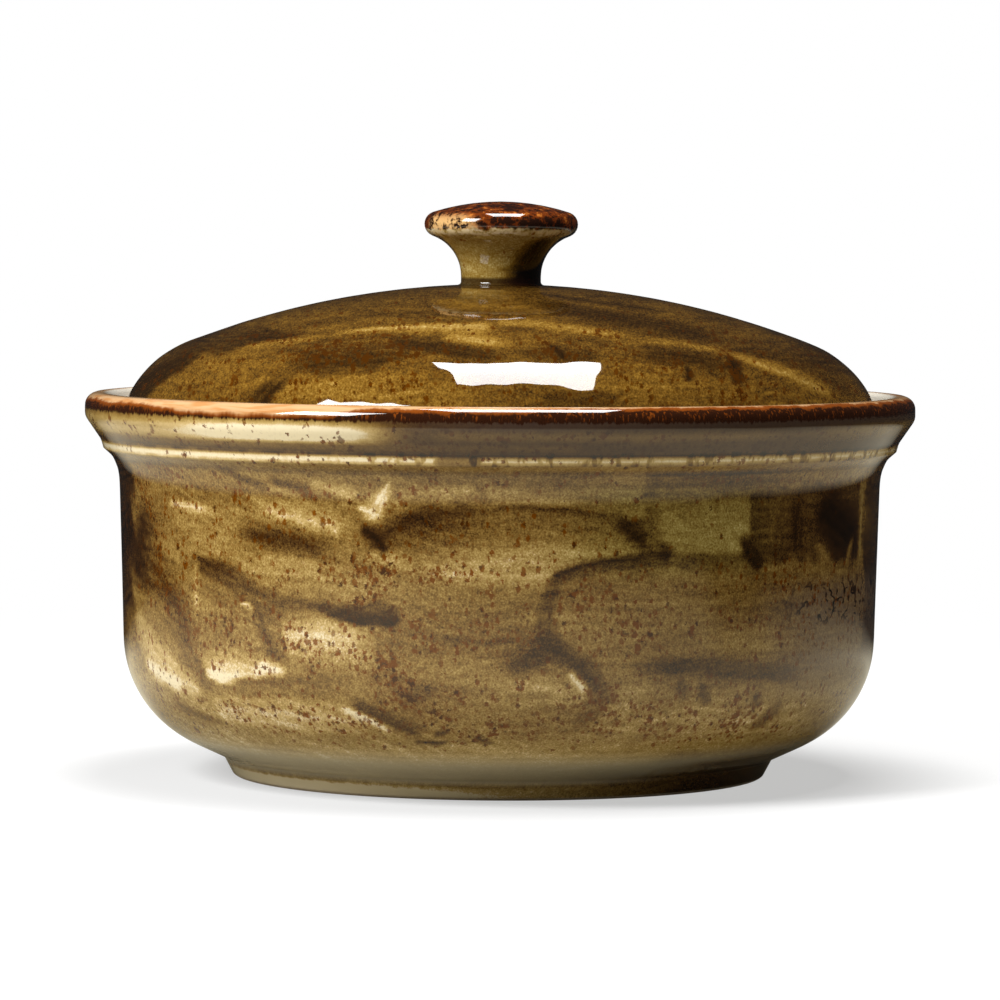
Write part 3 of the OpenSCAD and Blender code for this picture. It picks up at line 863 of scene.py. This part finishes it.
# How broadly the lip is burnt
LIP_BURNS = [
    round_lip((-94, -72, -46), (0.75, 0.75), 0.5, (0, 0.15)),
    round_lip((-58, -40, -17), (0.28, 0.28), 0.5, (0.4, 0.15)),
    round_lip((-4, 40, 86), (1.25, 1.3), 0.5, (0.2, 0.1)),
    round_lip((130, 165, 200), (0.3, 0.3), 0.7, (0.2, 0.2)),
]

# The side that is painted freely: its first azimuth, how far it goes round, the least and largest length
# and width of its dabs, and how many of them end in a flick
BACK_START = 82.0
BACK_SWEEP = 196.0
DAB_LENGTHS = (34, 62)
DAB_WIDTHS = (11, 20)
FLICKED = 0.4


def waves(values, seed, size):
    """A smooth random line from -1 to 1 or so, whose waves are about size long."""
    draw = np.random.default_rng(seed)
    lengths = size * draw.uniform(0.5, 1.6, 5)
    starts = draw.uniform(0, math.tau, 5)
    sines = [np.sin(math.tau * values / length + start) for length, start in zip(lengths, starts)]
    return sum(sines) / 3


def path_of(stroke):
    """Points along a stroke: the curve through its three places, and its half width at each."""
    share = np.linspace(0, 1, STROKE_STEPS)[:, None]
    weights = [(1 - share) * (1 - 2 * share), 4 * share * (1 - share), share * (2 * share - 1)]
    places = sum(weight * np.array(place) for weight, place in zip(weights, stroke[:3]))
    halves = sum(weight[:, 0] * width / 2 for weight, width in zip(weights, stroke.widths))
    return places, np.maximum(halves, LEAST_HALF)


def lay(stroke, tone, azimuth, height, radius, seed):
    """Lays one stroke over the tone at the points given by azimuth and height. Only points near it are
    looked at, and each takes its width, its side and its place along from the nearest step."""
    places, halves = path_of(stroke)
    middle = places[STROKE_STEPS // 2, 0]
    around = (azimuth - middle + 180) % 360 - 180
    across = np.radians(around) * radius
    path = np.stack([np.radians(places[:, 0] - middle) * radius, places[:, 1]], 1)
    reach = halves.max() * (1 + max(stroke.soft)) + 1
    near = (across > path[:, 0].min() - reach) & (across < path[:, 0].max() + reach)
    near &= (height > path[:, 1].min() - reach) & (height < path[:, 1].max() + reach)
    points = np.stack([across[near], height[near]], 1)
    nearest = np.full(len(points), np.inf)
    half = np.ones(len(points))
    side = np.zeros(len(points))
    along = np.zeros(len(points))
    for step in range(STROKE_STEPS - 1):
        line = path[step + 1] - path[step]
        away = points - path[step]
        share = np.clip(away @ line / (line @ line), 0, 1)
        distance = np.linalg.norm(away - share[:, None] * line, axis=1)
        closer = distance < nearest
        nearest[closer] = distance[closer]
        half[closer] = (halves[step] + share * (halves[step + 1] - halves[step]))[closer]
        side[closer] = np.sign(line[0] * away[:, 1] - line[1] * away[:, 0])[closer]
        along[closer] = ((step + share) / (STROKE_STEPS - 1))[closer]
    across_far, across_size = RAGGED_ACROSS
    up_far, up_size = RAGGED_UP
    ragged = 1 + across_far * waves(points[:, 0], seed, across_size)
    ragged += up_far * waves(points[:, 1], seed + 1, up_size)
    out = nearest * side / half
    left, right = stroke.soft
    edge = np.where(out > 0, left, right)
    cover = 1 - smoothstep(np.abs(out) * ragged, 1 - edge, 1 + edge)
    if stroke.ends[0]:
        cover = cover * smoothstep(along, 0, stroke.ends[0])
    if stroke.ends[1]:
        cover = cover * smoothstep(along, 1, 1 - stroke.ends[1])
    if stroke.flat:
        first, last = path[1] - path[0], path[-1] - path[-2]
        into = (points - path[0]) @ first / np.linalg.norm(first)
        left_over = (path[-1] - points) @ last / np.linalg.norm(last)
        cover = cover * smoothstep(np.minimum(into, left_over), *FLAT_END)
    blend = smoothstep(out, 1.0, -1.0)
    laid = stroke.tones[0] + (stroke.tones[1] - stroke.tones[0]) * blend
    laid = laid + STREAKS * waves(nearest * side, seed + 2, STREAK_WIDTH)
    tone[near] += (laid - tone[near]) * cover


def free_dab(draw, azimuth, height, length, width, lean):
    """A dab of the brush with a pooled dark edge and, now and then, a pale flick at its end."""
    run = length / 2
    rise = draw.uniform(-lean, lean)
    bow = draw.uniform(-0.1, 0.3) * width
    start = (azimuth - run, height - rise)
    via = (azimuth, height + bow)
    end = (azimuth + run, height + rise)
    pale = draw.uniform(0.5, 0.72)
    dark = draw.uniform(0.32, 0.48)
    widths = (0.6 * width, width, 0.6 * width)
    body = Stroke(start, via, end, widths, (dark, pale), (0.5, 0.9), (0.2, 0.2))
    side = 0.36 * width
    pool = Stroke(
        (start[0], start[1] + 0.5 * side),
        (via[0], via[1] + side),
        (end[0], end[1] + 0.5 * side),
        (1, draw.uniform(0.25, 0.45) * width, 3),
        (dark - draw.uniform(0.02, 0.18), dark - 0.04),
        (0.8, 1.0),
        (0.3, 0.2),
    )
    strokes = [body, pool]
    if draw.random() < FLICKED:
        tip = (end[0] - 0.1 * run, end[1] - 0.2 * side)
        fall = draw.uniform(-6, 6)
        near = (tip[0] + 1, tip[1] + 0.4 * fall)
        far = (tip[0] + 3, tip[1] + fall)
        strokes.append(Stroke(tip, near, far, (1.4, 3, 1.4), (0.92, 0.86), (0.6, 0.6)))
    return strokes


def free_dabs(name, seed, count, heights, lean):
    """Dabs all round the side of a piece that is painted freely, away from the front: each leans, over
    half its length, by up to lean millimetres."""
    draw = np.random.default_rng(seed)
    strokes = []
    for step in range(count):
        azimuth = BACK_START + BACK_SWEEP * (step + draw.uniform(0, 1)) / count
        height = draw.uniform(*heights)
        length = math.degrees(draw.uniform(*DAB_LENGTHS) / BRUSH_RADIUS[name])
        strokes += free_dab(draw, azimuth, height, length, draw.uniform(*DAB_WIDTHS), lean)
    return strokes


def paint(piece, label, base, strokes, radius, seed):
    """Stores the painted tone of each point of a piece as an attribute: base gives the tone under the
    strokes at each height."""
    mesh = piece.data
    count = len(mesh.vertices)
    place = np.empty(count * 3, np.float32)
    mesh.vertices.foreach_get("co", place)
    place = place.reshape(-1, 3) / MM
    height = np.empty(count, np.float32)
    mesh.attributes["height"].data.foreach_get("value", height)
    azimuth = np.degrees(np.arctan2(place[:, 0], -place[:, 1]))
    tone = np.zeros(count) + base(height)
    for number, stroke in enumerate(strokes):
        lay(stroke, tone, azimuth, height, radius, seed + 3 * number)
    store(mesh, label, tone)


# Finishes

# Where the dish's tints, painted sheens, painted light and painted shade lie up its outline, in bands or,
# with two heights, from none to all
HEEL_SHEEN_UP = (-9.5, -7.0, 2.0, 12.0)
POOLS = (-2.0, 8.0)
HEEL_BOUNCE_LIGHT = (44.0, 20.0)
RIGHT_SHEEN_UP = (20.0, 34.0, 50.0, 58.0)
CURLS_UP = (40.0, 46.0, 51.5, 57.0)
OLIVE_UP = (54.0, 62.0, 77.0, 82.0)
MOULDING = (83.0, 87.0)
RIDGE = (85.4, 86.2, 88.8, 90.0)
COVE_SHADE = (88.4, 89.6)
LIP_SHADOW = (95.8, 97.0)

# Where they lie from left to right
RUNS_ACROSS = (-70.0, 10.0)
SHADE_ACROSS = (-50.0, 10.0)
OLIVE_ACROSS = (8.0, 34.0, 60.0, 74.0)
RIGHT_SHEEN_ACROSS = (64.0, 82.0)
CURLS_ACROSS = (67.0, 79.0)

# Left of this the streaks lean, by this much for each millimetre
LEAN_FROM = -12.0
LEAN = 0.36

# How far from the foot or the lid's seat the clay is bare, and where the glaze is whole
BARE = 0.4
WHOLE = 0.9

# Roughness of glaze, and how much rougher bare clay is
GLAZE_ROUGHNESS = 0.5
CLAY_ROUGHER = 0.3

# How far the lid's grain is drawn out from front to back
LID_RUN = 3.0

# Tones under the strokes
WALL_TONE = 0.5
MOULDING_TONE = 0.22
LID_TONE = 0.38
KNOB_TONE = 0.82


def brushed(glaze, stops, tone, calm=0.0, char=0.0, lean=0.0):
    """Colour of a brushed reactive glaze from the painted tone, with its streaks and mottling, and where
    it has specks. Where calm is 1 it is smoother, and it is smooth where it is pale. Char darkens its
    specks, and lean shifts its streaks up."""
    smooth = glaze.smooth
    sway = (glaze.noise(24.0) - 0.5) * 9.0 + lean
    streak = glaze.noise(1.0, 2.0, glaze.stretched(13.0, 1.4, sway)) - 0.5
    mottle = glaze.noise(1.5, 2.0) - 0.5
    grain = glaze.noise(0.45, 1.0) - 0.5
    cloud = glaze.noise(1.0, 3.0, glaze.stretched(26.0, 9.0, sway)) - 0.5
    uneven = streak * 0.38 + mottle * 0.36 + grain * 0.68 + cloud * 0.34
    rough = smooth(tone, -0.1, 0.4) * (1 - smooth(tone, 0.66, 0.96) * 0.6) * (1 - calm * 0.6)
    colour = glaze.ramp(tone + uneven * rough, stops)

    # Specks, from the finest to ragged blots, crowd where they are painted
    specks = glaze.attribute("specks")
    share = glaze.clamp(0.3 + specks * 0.7)
    crowd = smooth(glaze.noise(7.0, 2.0), 0.32, 0.62) * share
    pepper = glaze.specks(0.7, crowd * 0.7 + share * 0.8, 0.3, 0.6) * rough
    small = glaze.specks(1.25, crowd * 1.2 + share * 0.12, 0.20, 0.54)
    large = glaze.specks(2.5, crowd * 1.1 - 0.1, 0.14, 0.40)
    ragged = glaze.noise(1.7, 4.0, None, 0.7) + specks * 0.4
    blot = smooth(ragged, 0.95, 1.03)
    spots = glaze.clamp(pepper * 0.42 + small + large + blot * 0.9)

    # They are dark here and there, on dark glaze and in the blots, and rusty on pale glaze
    dark = char + smooth(glaze.noise(1.3), 0.48, 0.68) * 0.8 + smooth(tone, 0.40, 0.16) * 0.7
    dark = dark + smooth(ragged, 0.98, 1.08) - smooth(tone, 0.5, 0.8) * 0.35
    spot_colour = glaze.mix(glaze.clamp(dark), RUST, DARK_RUST)
    return glaze.mix(spots, colour, spot_colour), spots


def glaze_waves(glaze, spots):
    """Height of the small waves in a glaze, in millimetres: it dips at its specks."""
    long_waves = (glaze.noise(5.0, 1.0) - 0.5) * 0.034
    short_waves = (glaze.noise(1.6, 1.0) - 0.5) * 0.011
    return long_waves + short_waves - spots * 0.01


def liner(glaze):
    """Pale glaze of the insides."""
    return glaze.mix(glaze.noise(12.0) * 0.35, LINER, CREAM)


def with_bare_clay(glaze, colour, spots, bare):
    """The finished glaze, with matt clay where it is bare."""
    clay = glaze.mix(glaze.noise(0.7), BARE_CLAY, DARK_CLAY)
    colour = glaze.mix(bare, colour, clay)
    roughness = GLAZE_ROUGHNESS + bare * CLAY_ROUGHER
    return glaze.finish(colour, roughness, 1 - bare, glaze_waves(glaze, spots))


def crawled_curls(glaze, rise):
    """Dark curls where the glaze has crawled, front right: broken lines along a noise's middle level."""
    place = glaze.smooth(glaze.x, *CURLS_ACROSS) * glaze.band(rise, CURLS_UP)
    level = glaze.noise(1.0, 1.5, glaze.stretched(4.2, 3.0)) - 0.5
    lines = glaze.smooth(level.math("ABSOLUTE", level), 0.075, 0.03) * glaze.smooth(glaze.y, 0.0, -10.0)
    return lines * place * glaze.smooth(glaze.noise(3.2, 1.0), 0.45, 0.57)


def wall_colour(glaze, rise):
    """Colour of the dish's outside under its lip, with painted light, painted reflections and painted shade,
    and where it has specks.
    """
    x, smooth = glaze.x, glaze.smooth
    curls = crawled_curls(glaze, rise)
    # Painted light: the wall is paler towards its foot, in place of light bounced up from the floor
    tone = glaze.attribute("tone") + smooth(rise, *HEEL_BOUNCE_LIGHT) * 0.13 - curls * 0.4
    pooled = smooth(glaze.attribute("bend"), -0.06, -0.28) * smooth(rise, *POOLS) * 0.16
    runs = smooth(glaze.noise(1.0, 2.0, glaze.stretched(2.4, 7.0)), 0.52, 0.66) * 0.36
    runs = runs * glaze.band(rise, RIDGE) * smooth(x, *RUNS_ACROSS)
    moulding = smooth(rise, *MOULDING)
    char = 0.3 + moulding * 0.2
    lean = x.math("MINIMUM", x - LEAN_FROM, 0.0) * LEAN
    colour, spots = brushed(glaze, BODY_GLAZE, tone - pooled - runs, moulding, char, lean)
    olive = glaze.band(x, OLIVE_ACROSS) * glaze.band(rise, OLIVE_UP)
    colour = glaze.tinted(olive, colour, OLIVE)
    # Painted reflection: a pale sheen of the floor on the heel, where the glaze is not dark
    heel_sheen = glaze.band(rise, HEEL_SHEEN_UP) * smooth(tone, 0.25, 0.6)
    colour = glaze.mix(heel_sheen * 0.8, colour, HEEL_SHEEN)
    # Painted reflection: a grey sheen on the right of the wall, except on the specks and curls
    right_sheen = smooth(x, *RIGHT_SHEEN_ACROSS) * glaze.band(rise, RIGHT_SHEEN_UP) * (1 - spots) * (1 - curls)
    colour = glaze.mix(right_sheen * 0.5, colour, RIGHT_SHEEN)
    shade = (smooth(rise, *LIP_SHADOW) + smooth(rise, *COVE_SHADE)) * 0.4
    colour = glaze.mix(shade * smooth(x, *SHADE_ACROSS), colour, LIP_SHADE)
    return colour, spots


def lip_colour(glaze, rise, ticks):
    """The lip breaks from peach through brown to a burnt line, in ticks that run down."""
    smooth = glaze.smooth
    burn = glaze.attribute("burn")
    patchy = (glaze.noise(5.0, 3.0) - 0.5) * 2.6
    burnt_top = LIP_LOW - 0.4 + burn * 2.9 + (ticks + patchy) * (0.5 + burn * 0.7)
    brown_top = burnt_top + 0.5 + burn * 0.8
    threads = smooth(glaze.noise(1.0, 2.0, glaze.stretched(9.0, 0.8)), 0.42, 0.66)
    peach = glaze.mix(threads, LIP_PEACH, LIP_ORANGE)
    colour = glaze.mix(smooth(rise - brown_top, 0.6, -0.5), peach, LIP_BROWN)
    flecks = smooth(glaze.noise(1.0, 2.0, glaze.stretched(0.6, 3.0)), 0.54, 0.72)
    charred = glaze.mix(flecks * smooth(rise, LIP_LOW, LIP_LOW + 1.4), BURNT, LIP_BROWN)
    return glaze.mix(smooth(rise - burnt_top, 0.5, -0.4) * 0.94, colour, charred)


def dish_finish():
    """Brushed glaze outside, an orange and burnt lip, a pale liner inside and a bare foot ring."""
    glaze = Glaze("dish glaze")
    rise = glaze.attribute("height")
    ticks = glaze.noise(1.0, 2.0, glaze.stretched(0.75, 9.0)) - 0.5
    colour, spots = wall_colour(glaze, rise)
    lip = glaze.smooth(rise + ticks * 2.0, LIP_LOW - 0.3, LIP_LOW + 0.3)
    colour = glaze.mix(lip, colour, lip_colour(glaze, rise, ticks))
    inside = glaze.smooth(rise + ticks, LIP_END - 0.8, LIP_END + 0.8)
    underside = glaze.smooth(rise, FOOT_END, FOOT_END - 1)
    colour = glaze.mix(glaze.clamp(inside + underside), colour, liner(glaze))
    return with_bare_clay(glaze, colour, spots, glaze.smooth(glaze.z, WHOLE, BARE))


def lid_finish(seat_z):
    """Olive-gold brushed glaze on top, a pale liner underneath and a bare edge where it rests."""
    glaze = Glaze("lid glaze", LID_RUN)
    colour, spots = brushed(glaze, LID_GLAZE, glaze.attribute("tone"), char=0.8)
    under = 1 - glaze.attribute("shown")
    colour = glaze.mix(under, colour, liner(glaze))
    seat = (seat_z - WHOLE, seat_z - BARE, seat_z + BARE, seat_z + WHOLE)
    return with_bare_clay(glaze, colour, spots, glaze.band(glaze.z, seat) * under)


def knob_finish(cap_z, foot_z):
    """Burnt orange and brown on the cap, cream breaking under its edge, and an olive-gold neck."""
    glaze = Glaze("knob glaze")
    smooth = glaze.smooth
    colour, spots = brushed(glaze, LID_GLAZE, glaze.attribute("tone"))
    colour = glaze.tinted(0.4, colour, OLIVE)
    pale = glaze.attribute("pale")
    patch = glaze.noise(2.4, 4.0, None, 0.7) - glaze.clamp(pale * -1.0) * 0.12
    burnt = glaze.mix(smooth(patch, 0.42, 0.54), BURNT, CAP_BROWN)
    burnt = glaze.mix(smooth(patch, 0.56, 0.66), burnt, CAP_ORANGE)
    burnt = glaze.mix(glaze.clamp(pale) * smooth(patch, 0.42, 0.54), burnt, CAP_PALE)
    edge = glaze.z + (glaze.noise(2.2, 2.0) - 0.5) * 2.4
    under = smooth(edge, cap_z - 2.2, cap_z - 1.0) * smooth(glaze.noise(1.5, 3.0), 0.34, 0.56)
    colour = glaze.mix(under * smooth(glaze.x, 42.0, -10.0) * 0.85, colour, CREAM)
    colour = glaze.mix(smooth(edge, cap_z - 0.4, cap_z + 0.3), colour, burnt)
    foot = smooth(glaze.z, foot_z + 2.4, foot_z + 1.4)
    colour = glaze.mix(foot * 0.85, colour, BURNT)
    return glaze.finish(colour, GLAZE_ROUGHNESS, 1.0, glaze_waves(glaze, spots))


# Studio: sizes are in metres

WHITE = (1.0, 1.0, 1.0, 1.0)

# The floor, and the distances between which it turns from half lit to plain white
FLOOR_WHITE = (0.94, 0.94, 0.94, 1.0)
FLOOR_RADIUS = 4.0
FLOOR_Z = -0.0002
FLOOR_GLOW = (0.1, 0.6)
FLOOR_GLOW_LEAST = 0.5

# The table top: the degrees between the points of its edge, how far it reaches from the axis at each
# azimuth, and how broadly its edge fades
TABLE_WHITE = (0.48, 0.45, 0.35, 1.0)
TABLE_Z = -0.0001
TABLE_STEP = 4
TABLE_REACH = {
    -180: 0.34,
    -150: 0.38,
    -125: 0.52,
    -80: 0.56,
    -40: 0.60,
    40: 0.60,
    56: 0.58,
    64: 0.48,
    74: 0.48,
    80: 0.54,
    130: 0.48,
    150: 0.38,
    180: 0.34,
}
TABLE_FADE = 0.26

# The dark cards: the radius of those all round, and the heights that they stand between
CARD_COLOUR = (0.9, 0.95, 1.0, 1.0)
CARD_GLOW = 0.018
CARD_RADIUS = 1.4
CARD_LOW = -0.001
CARD_HIGH = 1.7

# The share of its full white with which the world lights the glaze
WORLD_FILL = 0.16


def studio_material(name):
    """A material for the studio, and its empty node tree."""
    material = bpy.data.materials.new(name)
    material.use_nodes = True
    return material, Nodes(material.node_tree)


def stage_mesh(name, points, faces, material):
    """Something of the studio that isn't part of the object."""
    mesh = bpy.data.meshes.new(name)
    mesh.from_pydata(points, [], faces)
    mesh.materials.append(material)
    thing = bpy.data.objects.new(name, mesh)
    bpy.context.scene.collection.objects.link(thing)
    return thing


def circle(radius, height, count=96):
    """A level ring of points about the axis."""
    turns = [math.tau * step / count for step in range(count)]
    return [(radius * math.cos(turn), radius * math.sin(turn), height) for turn in turns]


def between_rings(count):
    """Faces between two rings of count points, the one after the other."""
    return [(i, (i + 1) % count, count + (i + 1) % count, count + i) for i in range(count)]


def floor():
    """A white floor, plain white far from the dish. The glaze doesn't mirror it: it mirrors the table."""
    material, nodes = studio_material("floor white")
    cloth = nodes.node("ShaderNodeBsdfDiffuse", None, {"Color": FLOOR_WHITE})
    glow = nodes.node("ShaderNodeEmission", None, {"Color": WHITE, "Strength": 1.0})
    place = nodes.node("ShaderNodeTexCoord").other("Object")
    far = nodes.node("ShaderNodeVectorMath", {"operation": "LENGTH"}, {0: place})
    settings = {"interpolation_type": "SMOOTHSTEP"}
    near, away = FLOOR_GLOW
    inputs = {"Value": far, "From Min": near, "From Max": away, "To Min": FLOOR_GLOW_LEAST}
    share = nodes.node("ShaderNodeMapRange", settings, inputs)
    surface = nodes.node("ShaderNodeMixShader", None, {0: share, 1: cloth, 2: glow})
    nodes.node("ShaderNodeOutputMaterial", None, {"Surface": surface})
    points = circle(FLOOR_RADIUS, FLOOR_Z)
    ground = stage_mesh("floor", points, [tuple(range(len(points)))], material)
    ground.visible_glossy = False
    ground.visible_diffuse = False


def table():
    """The white table top that the glaze mirrors, which fades out at its edge."""
    material, nodes = studio_material("table white")
    white = nodes.node("ShaderNodeBsdfDiffuse", None, {"Color": TABLE_WHITE})
    clear = nodes.node("ShaderNodeBsdfTransparent")
    share = nodes.node("ShaderNodeAttribute", {"attribute_name": "share"}).other("Fac")
    surface = nodes.node("ShaderNodeMixShader", None, {0: share, 1: clear, 2: white})
    nodes.node("ShaderNodeOutputMaterial", None, {"Surface": surface})
    turns = np.arange(-180, 180, TABLE_STEP)
    reach = np.interp(turns, list(TABLE_REACH), list(TABLE_REACH.values()))
    swing = np.radians(turns)
    rings = []
    for out in (reach - TABLE_FADE * 2 / 3, reach + TABLE_FADE / 3):
        rings += [(far * math.sin(turn), -far * math.cos(turn), TABLE_Z) for far, turn in zip(out, swing)]
    count = len(turns)
    top = stage_mesh("table_top", rings, [tuple(range(count))] + between_rings(count), material)
    store(top.data, "share", [1.0] * count + [0.0] * count)
    top.visible_camera = False
    top.visible_shadow = False


def dark_cards():
    """Dark cards all round and overhead, seen only in reflections, that keep the glaze's colour deep."""
    material, nodes = studio_material("dark card")
    surface = nodes.node("ShaderNodeEmission", None, {"Color": CARD_COLOUR, "Strength": CARD_GLOW})
    nodes.node("ShaderNodeOutputMaterial", None, {"Surface": surface})
    points = circle(CARD_RADIUS, CARD_LOW) + circle(CARD_RADIUS, CARD_HIGH)
    count = len(points) // 2
    ends = [tuple(range(count)), tuple(range(count, 2 * count))]
    cards = stage_mesh("dark_cards", points, between_rings(count) + ends, material)
    cards.visible_camera = False
    cards.visible_diffuse = False
    cards.visible_transmission = False
    cards.visible_shadow = False


def swung(azimuth, lift, far, height):
    """A place far from a height on the axis, at an azimuth and a lift in degrees."""
    turn = math.radians(azimuth)
    level = far * math.cos(math.radians(lift))
    return (level * math.sin(turn), -level * math.cos(turn), height + far * math.sin(math.radians(lift)))


class Softbox(NamedTuple):
    """A rectangular softbox: its place, what it faces, its size, the radiance of its face, and how far
    it is spun in degrees."""

    place: tuple
    aim: tuple
    width: float
    depth: float
    radiance: float
    spin: float = 0.0


SOFTBOXES = {
    "top_softbox": Softbox((0.068, 0.06, 1.12), (0.068, 0.36, 0.0), 0.45, 0.66, 15.0, 4.0),
    "left_softbox": Softbox(swung(-52, 35, 0.95, 0.1), (0.0, 0.0, 0.07), 0.36, 0.42, 20.0),
}


def hang(name, softbox):
    """Hangs a softbox in the studio, with the power that gives its face its radiance."""
    lamp = bpy.data.lights.new(name, "AREA")
    lamp.shape = "RECTANGLE"
    lamp.size = softbox.width
    lamp.size_y = softbox.depth
    lamp.energy = softbox.radiance * softbox.width * softbox.depth * math.pi
    box = bpy.data.objects.new(name, lamp)
    box.location = softbox.place
    box.rotation_mode = "QUATERNION"
    facing = (Vector(softbox.aim) - Vector(softbox.place)).to_track_quat("-Z", "Y")
    box.rotation_quaternion = facing @ Quaternion((0, 0, 1), math.radians(softbox.spin))
    box.visible_camera = False
    bpy.context.scene.collection.objects.link(box)


def lights():
    """The softboxes, and a world that looks white and lights the glaze only a little."""
    for name, softbox in SOFTBOXES.items():
        hang(name, softbox)
    world = bpy.data.worlds.new("studio")
    world.use_nodes = True
    bpy.context.scene.world = world
    nodes = Nodes(world.node_tree)
    rays = nodes.node("ShaderNodeLightPath")
    seen = rays + rays.other("Is Glossy Ray") + rays.other("Is Transmission Ray")
    strength = WORLD_FILL + seen * (1 - WORLD_FILL)
    surface = nodes.node("ShaderNodeBackground", None, {"Color": WHITE, "Strength": strength})
    nodes.node("ShaderNodeOutputWorld", None, {"Surface": surface})


# The photograph's view: how far off, how high and how far aside the lens is, in metres, its tilt and its
# roll, and its length and the sensor's width in millimetres
LENS_DISTANCE = 1.381
LENS_HEIGHT = 0.1432
LENS_ASIDE = 0.0001
LENS_TILT = math.radians(2.98)
LENS_ROLL = math.radians(0.34)
LENS_LENGTH = 190.8
SENSOR_WIDTH = 36.0


def camera():
    """The camera where the photograph was taken from."""
    lens = bpy.data.cameras.new("camera")
    lens.lens = LENS_LENGTH
    lens.sensor_width = SENSOR_WIDTH
    eye = bpy.data.objects.new("camera", lens)
    tilt = Matrix.Rotation(math.pi / 2 - LENS_TILT, 4, "X")
    roll = Matrix.Rotation(LENS_ROLL, 4, "Z")
    eye.matrix_world = Matrix.Translation((LENS_ASIDE, -LENS_DISTANCE, LENS_HEIGHT)) @ tilt @ roll
    bpy.context.scene.collection.objects.link(eye)
    bpy.context.scene.camera = eye


# The casserole


def below_rim(curve):
    """Points of the dish's outline before the top of its rim, above the foot's underside."""
    before = np.arange(len(curve)) <= curve[:, 1].argmax()
    return before & (np.arange(len(curve)) > np.where(curve[:, 1] < UNDERSIDE)[0].max())


def above_edge(curve):
    """Points of the lid's outline from its widest place up to the knob's pad."""
    return np.arange(len(curve)) >= curve[:, 0].argmax()


def everywhere(curve):
    """All points of the knob's outline."""
    return np.ones(len(curve), bool)


def up_the_wall(points, along):
    """Heights for painting the dish: along its outline, and the true height in the middle of the wall."""
    outside = points[:, 0] > points[:, 0].max() - OUTSIDE_DEPTH
    middle = np.where(outside, np.abs(points[:, 1] - MID_WALL), np.inf).argmin()
    return along + points[middle, 1] - along[middle]


def from_the_axis(points, along):
    """Heights for painting the lid: its distance from the axis, along its top."""
    return along[-1] - along


def from_the_foot(points, along):
    """Heights for painting the knob: along its outline."""
    return along


def wall_tone(height):
    """The dish's tone under the strokes: the moulding, above the wall, is darker."""
    return np.where(height > MOULDING_LOW, MOULDING_TONE, WALL_TONE)


def plain(tone):
    """The same tone at every height."""
    return lambda height: tone


def build():
    """Turns, finishes and paints the three pieces, and sets each on its body."""
    outlines = {
        "dish": make_outline("dish", below_rim, up_the_wall),
        "lid": make_outline("lid", above_edge, from_the_axis),
        "knob": make_outline("knob", everywhere, from_the_foot),
    }
    lid_points = outlines["lid"].points
    seat_z = lid_points[lid_points[:, 0].argmax(), 1] - LID_EDGE
    knob_low, knob_high = (corner.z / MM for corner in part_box("knob"))
    finishes = {
        "dish": dish_finish(),
        "lid": lid_finish(seat_z),
        "knob": knob_finish(knob_high - CAP_DEPTH, knob_low),
    }
    tree = turning_tree()
    pieces = {name: turned(name, outlines[name], finishes[name], tree) for name in outlines}

    # Painted layers: the piece, what is painted, the tone underneath, the strokes and their seed
    dish_dabs = free_dabs("dish", seed=7, count=30, heights=(18, 82), lean=9.0)
    lid_dabs = free_dabs("lid", seed=11, count=20, heights=(30, 100), lean=8.0)
    layers = [
        ("dish", "tone", wall_tone, dish_dabs + BODY_STROKES, 100),
        ("dish", "specks", plain(0.0), BODY_SPECKS, 400),
        ("dish", "burn", plain(1.0), LIP_BURNS, 500),
        ("lid", "tone", plain(LID_TONE), lid_dabs + LID_STROKES, 600),
        ("lid", "specks", plain(0.0), LID_SPECKS, 900),
        ("knob", "tone", plain(KNOB_TONE), KNOB_STROKES, 1000),
        ("knob", "specks", plain(-0.36), [], 1000),
        ("knob", "pale", plain(0.0), KNOB_PALE, 1100),
    ]
    for name, label, base, strokes, seed in layers:
        radius = LIP_RADIUS if label == "burn" else BRUSH_RADIUS[name]
        paint(pieces[name], label, base, strokes, radius, seed)
    for name, body in [("dish", "dish"), ("lid", "lid"), ("knob", "lid")]:
        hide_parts(name)
        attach(pieces[name], body)
        name + "_glaze"


build()
floor()
table()
dark_cards()
lights()
camera()
bpy.context.scene.view_settings.view_transform = "Standard"
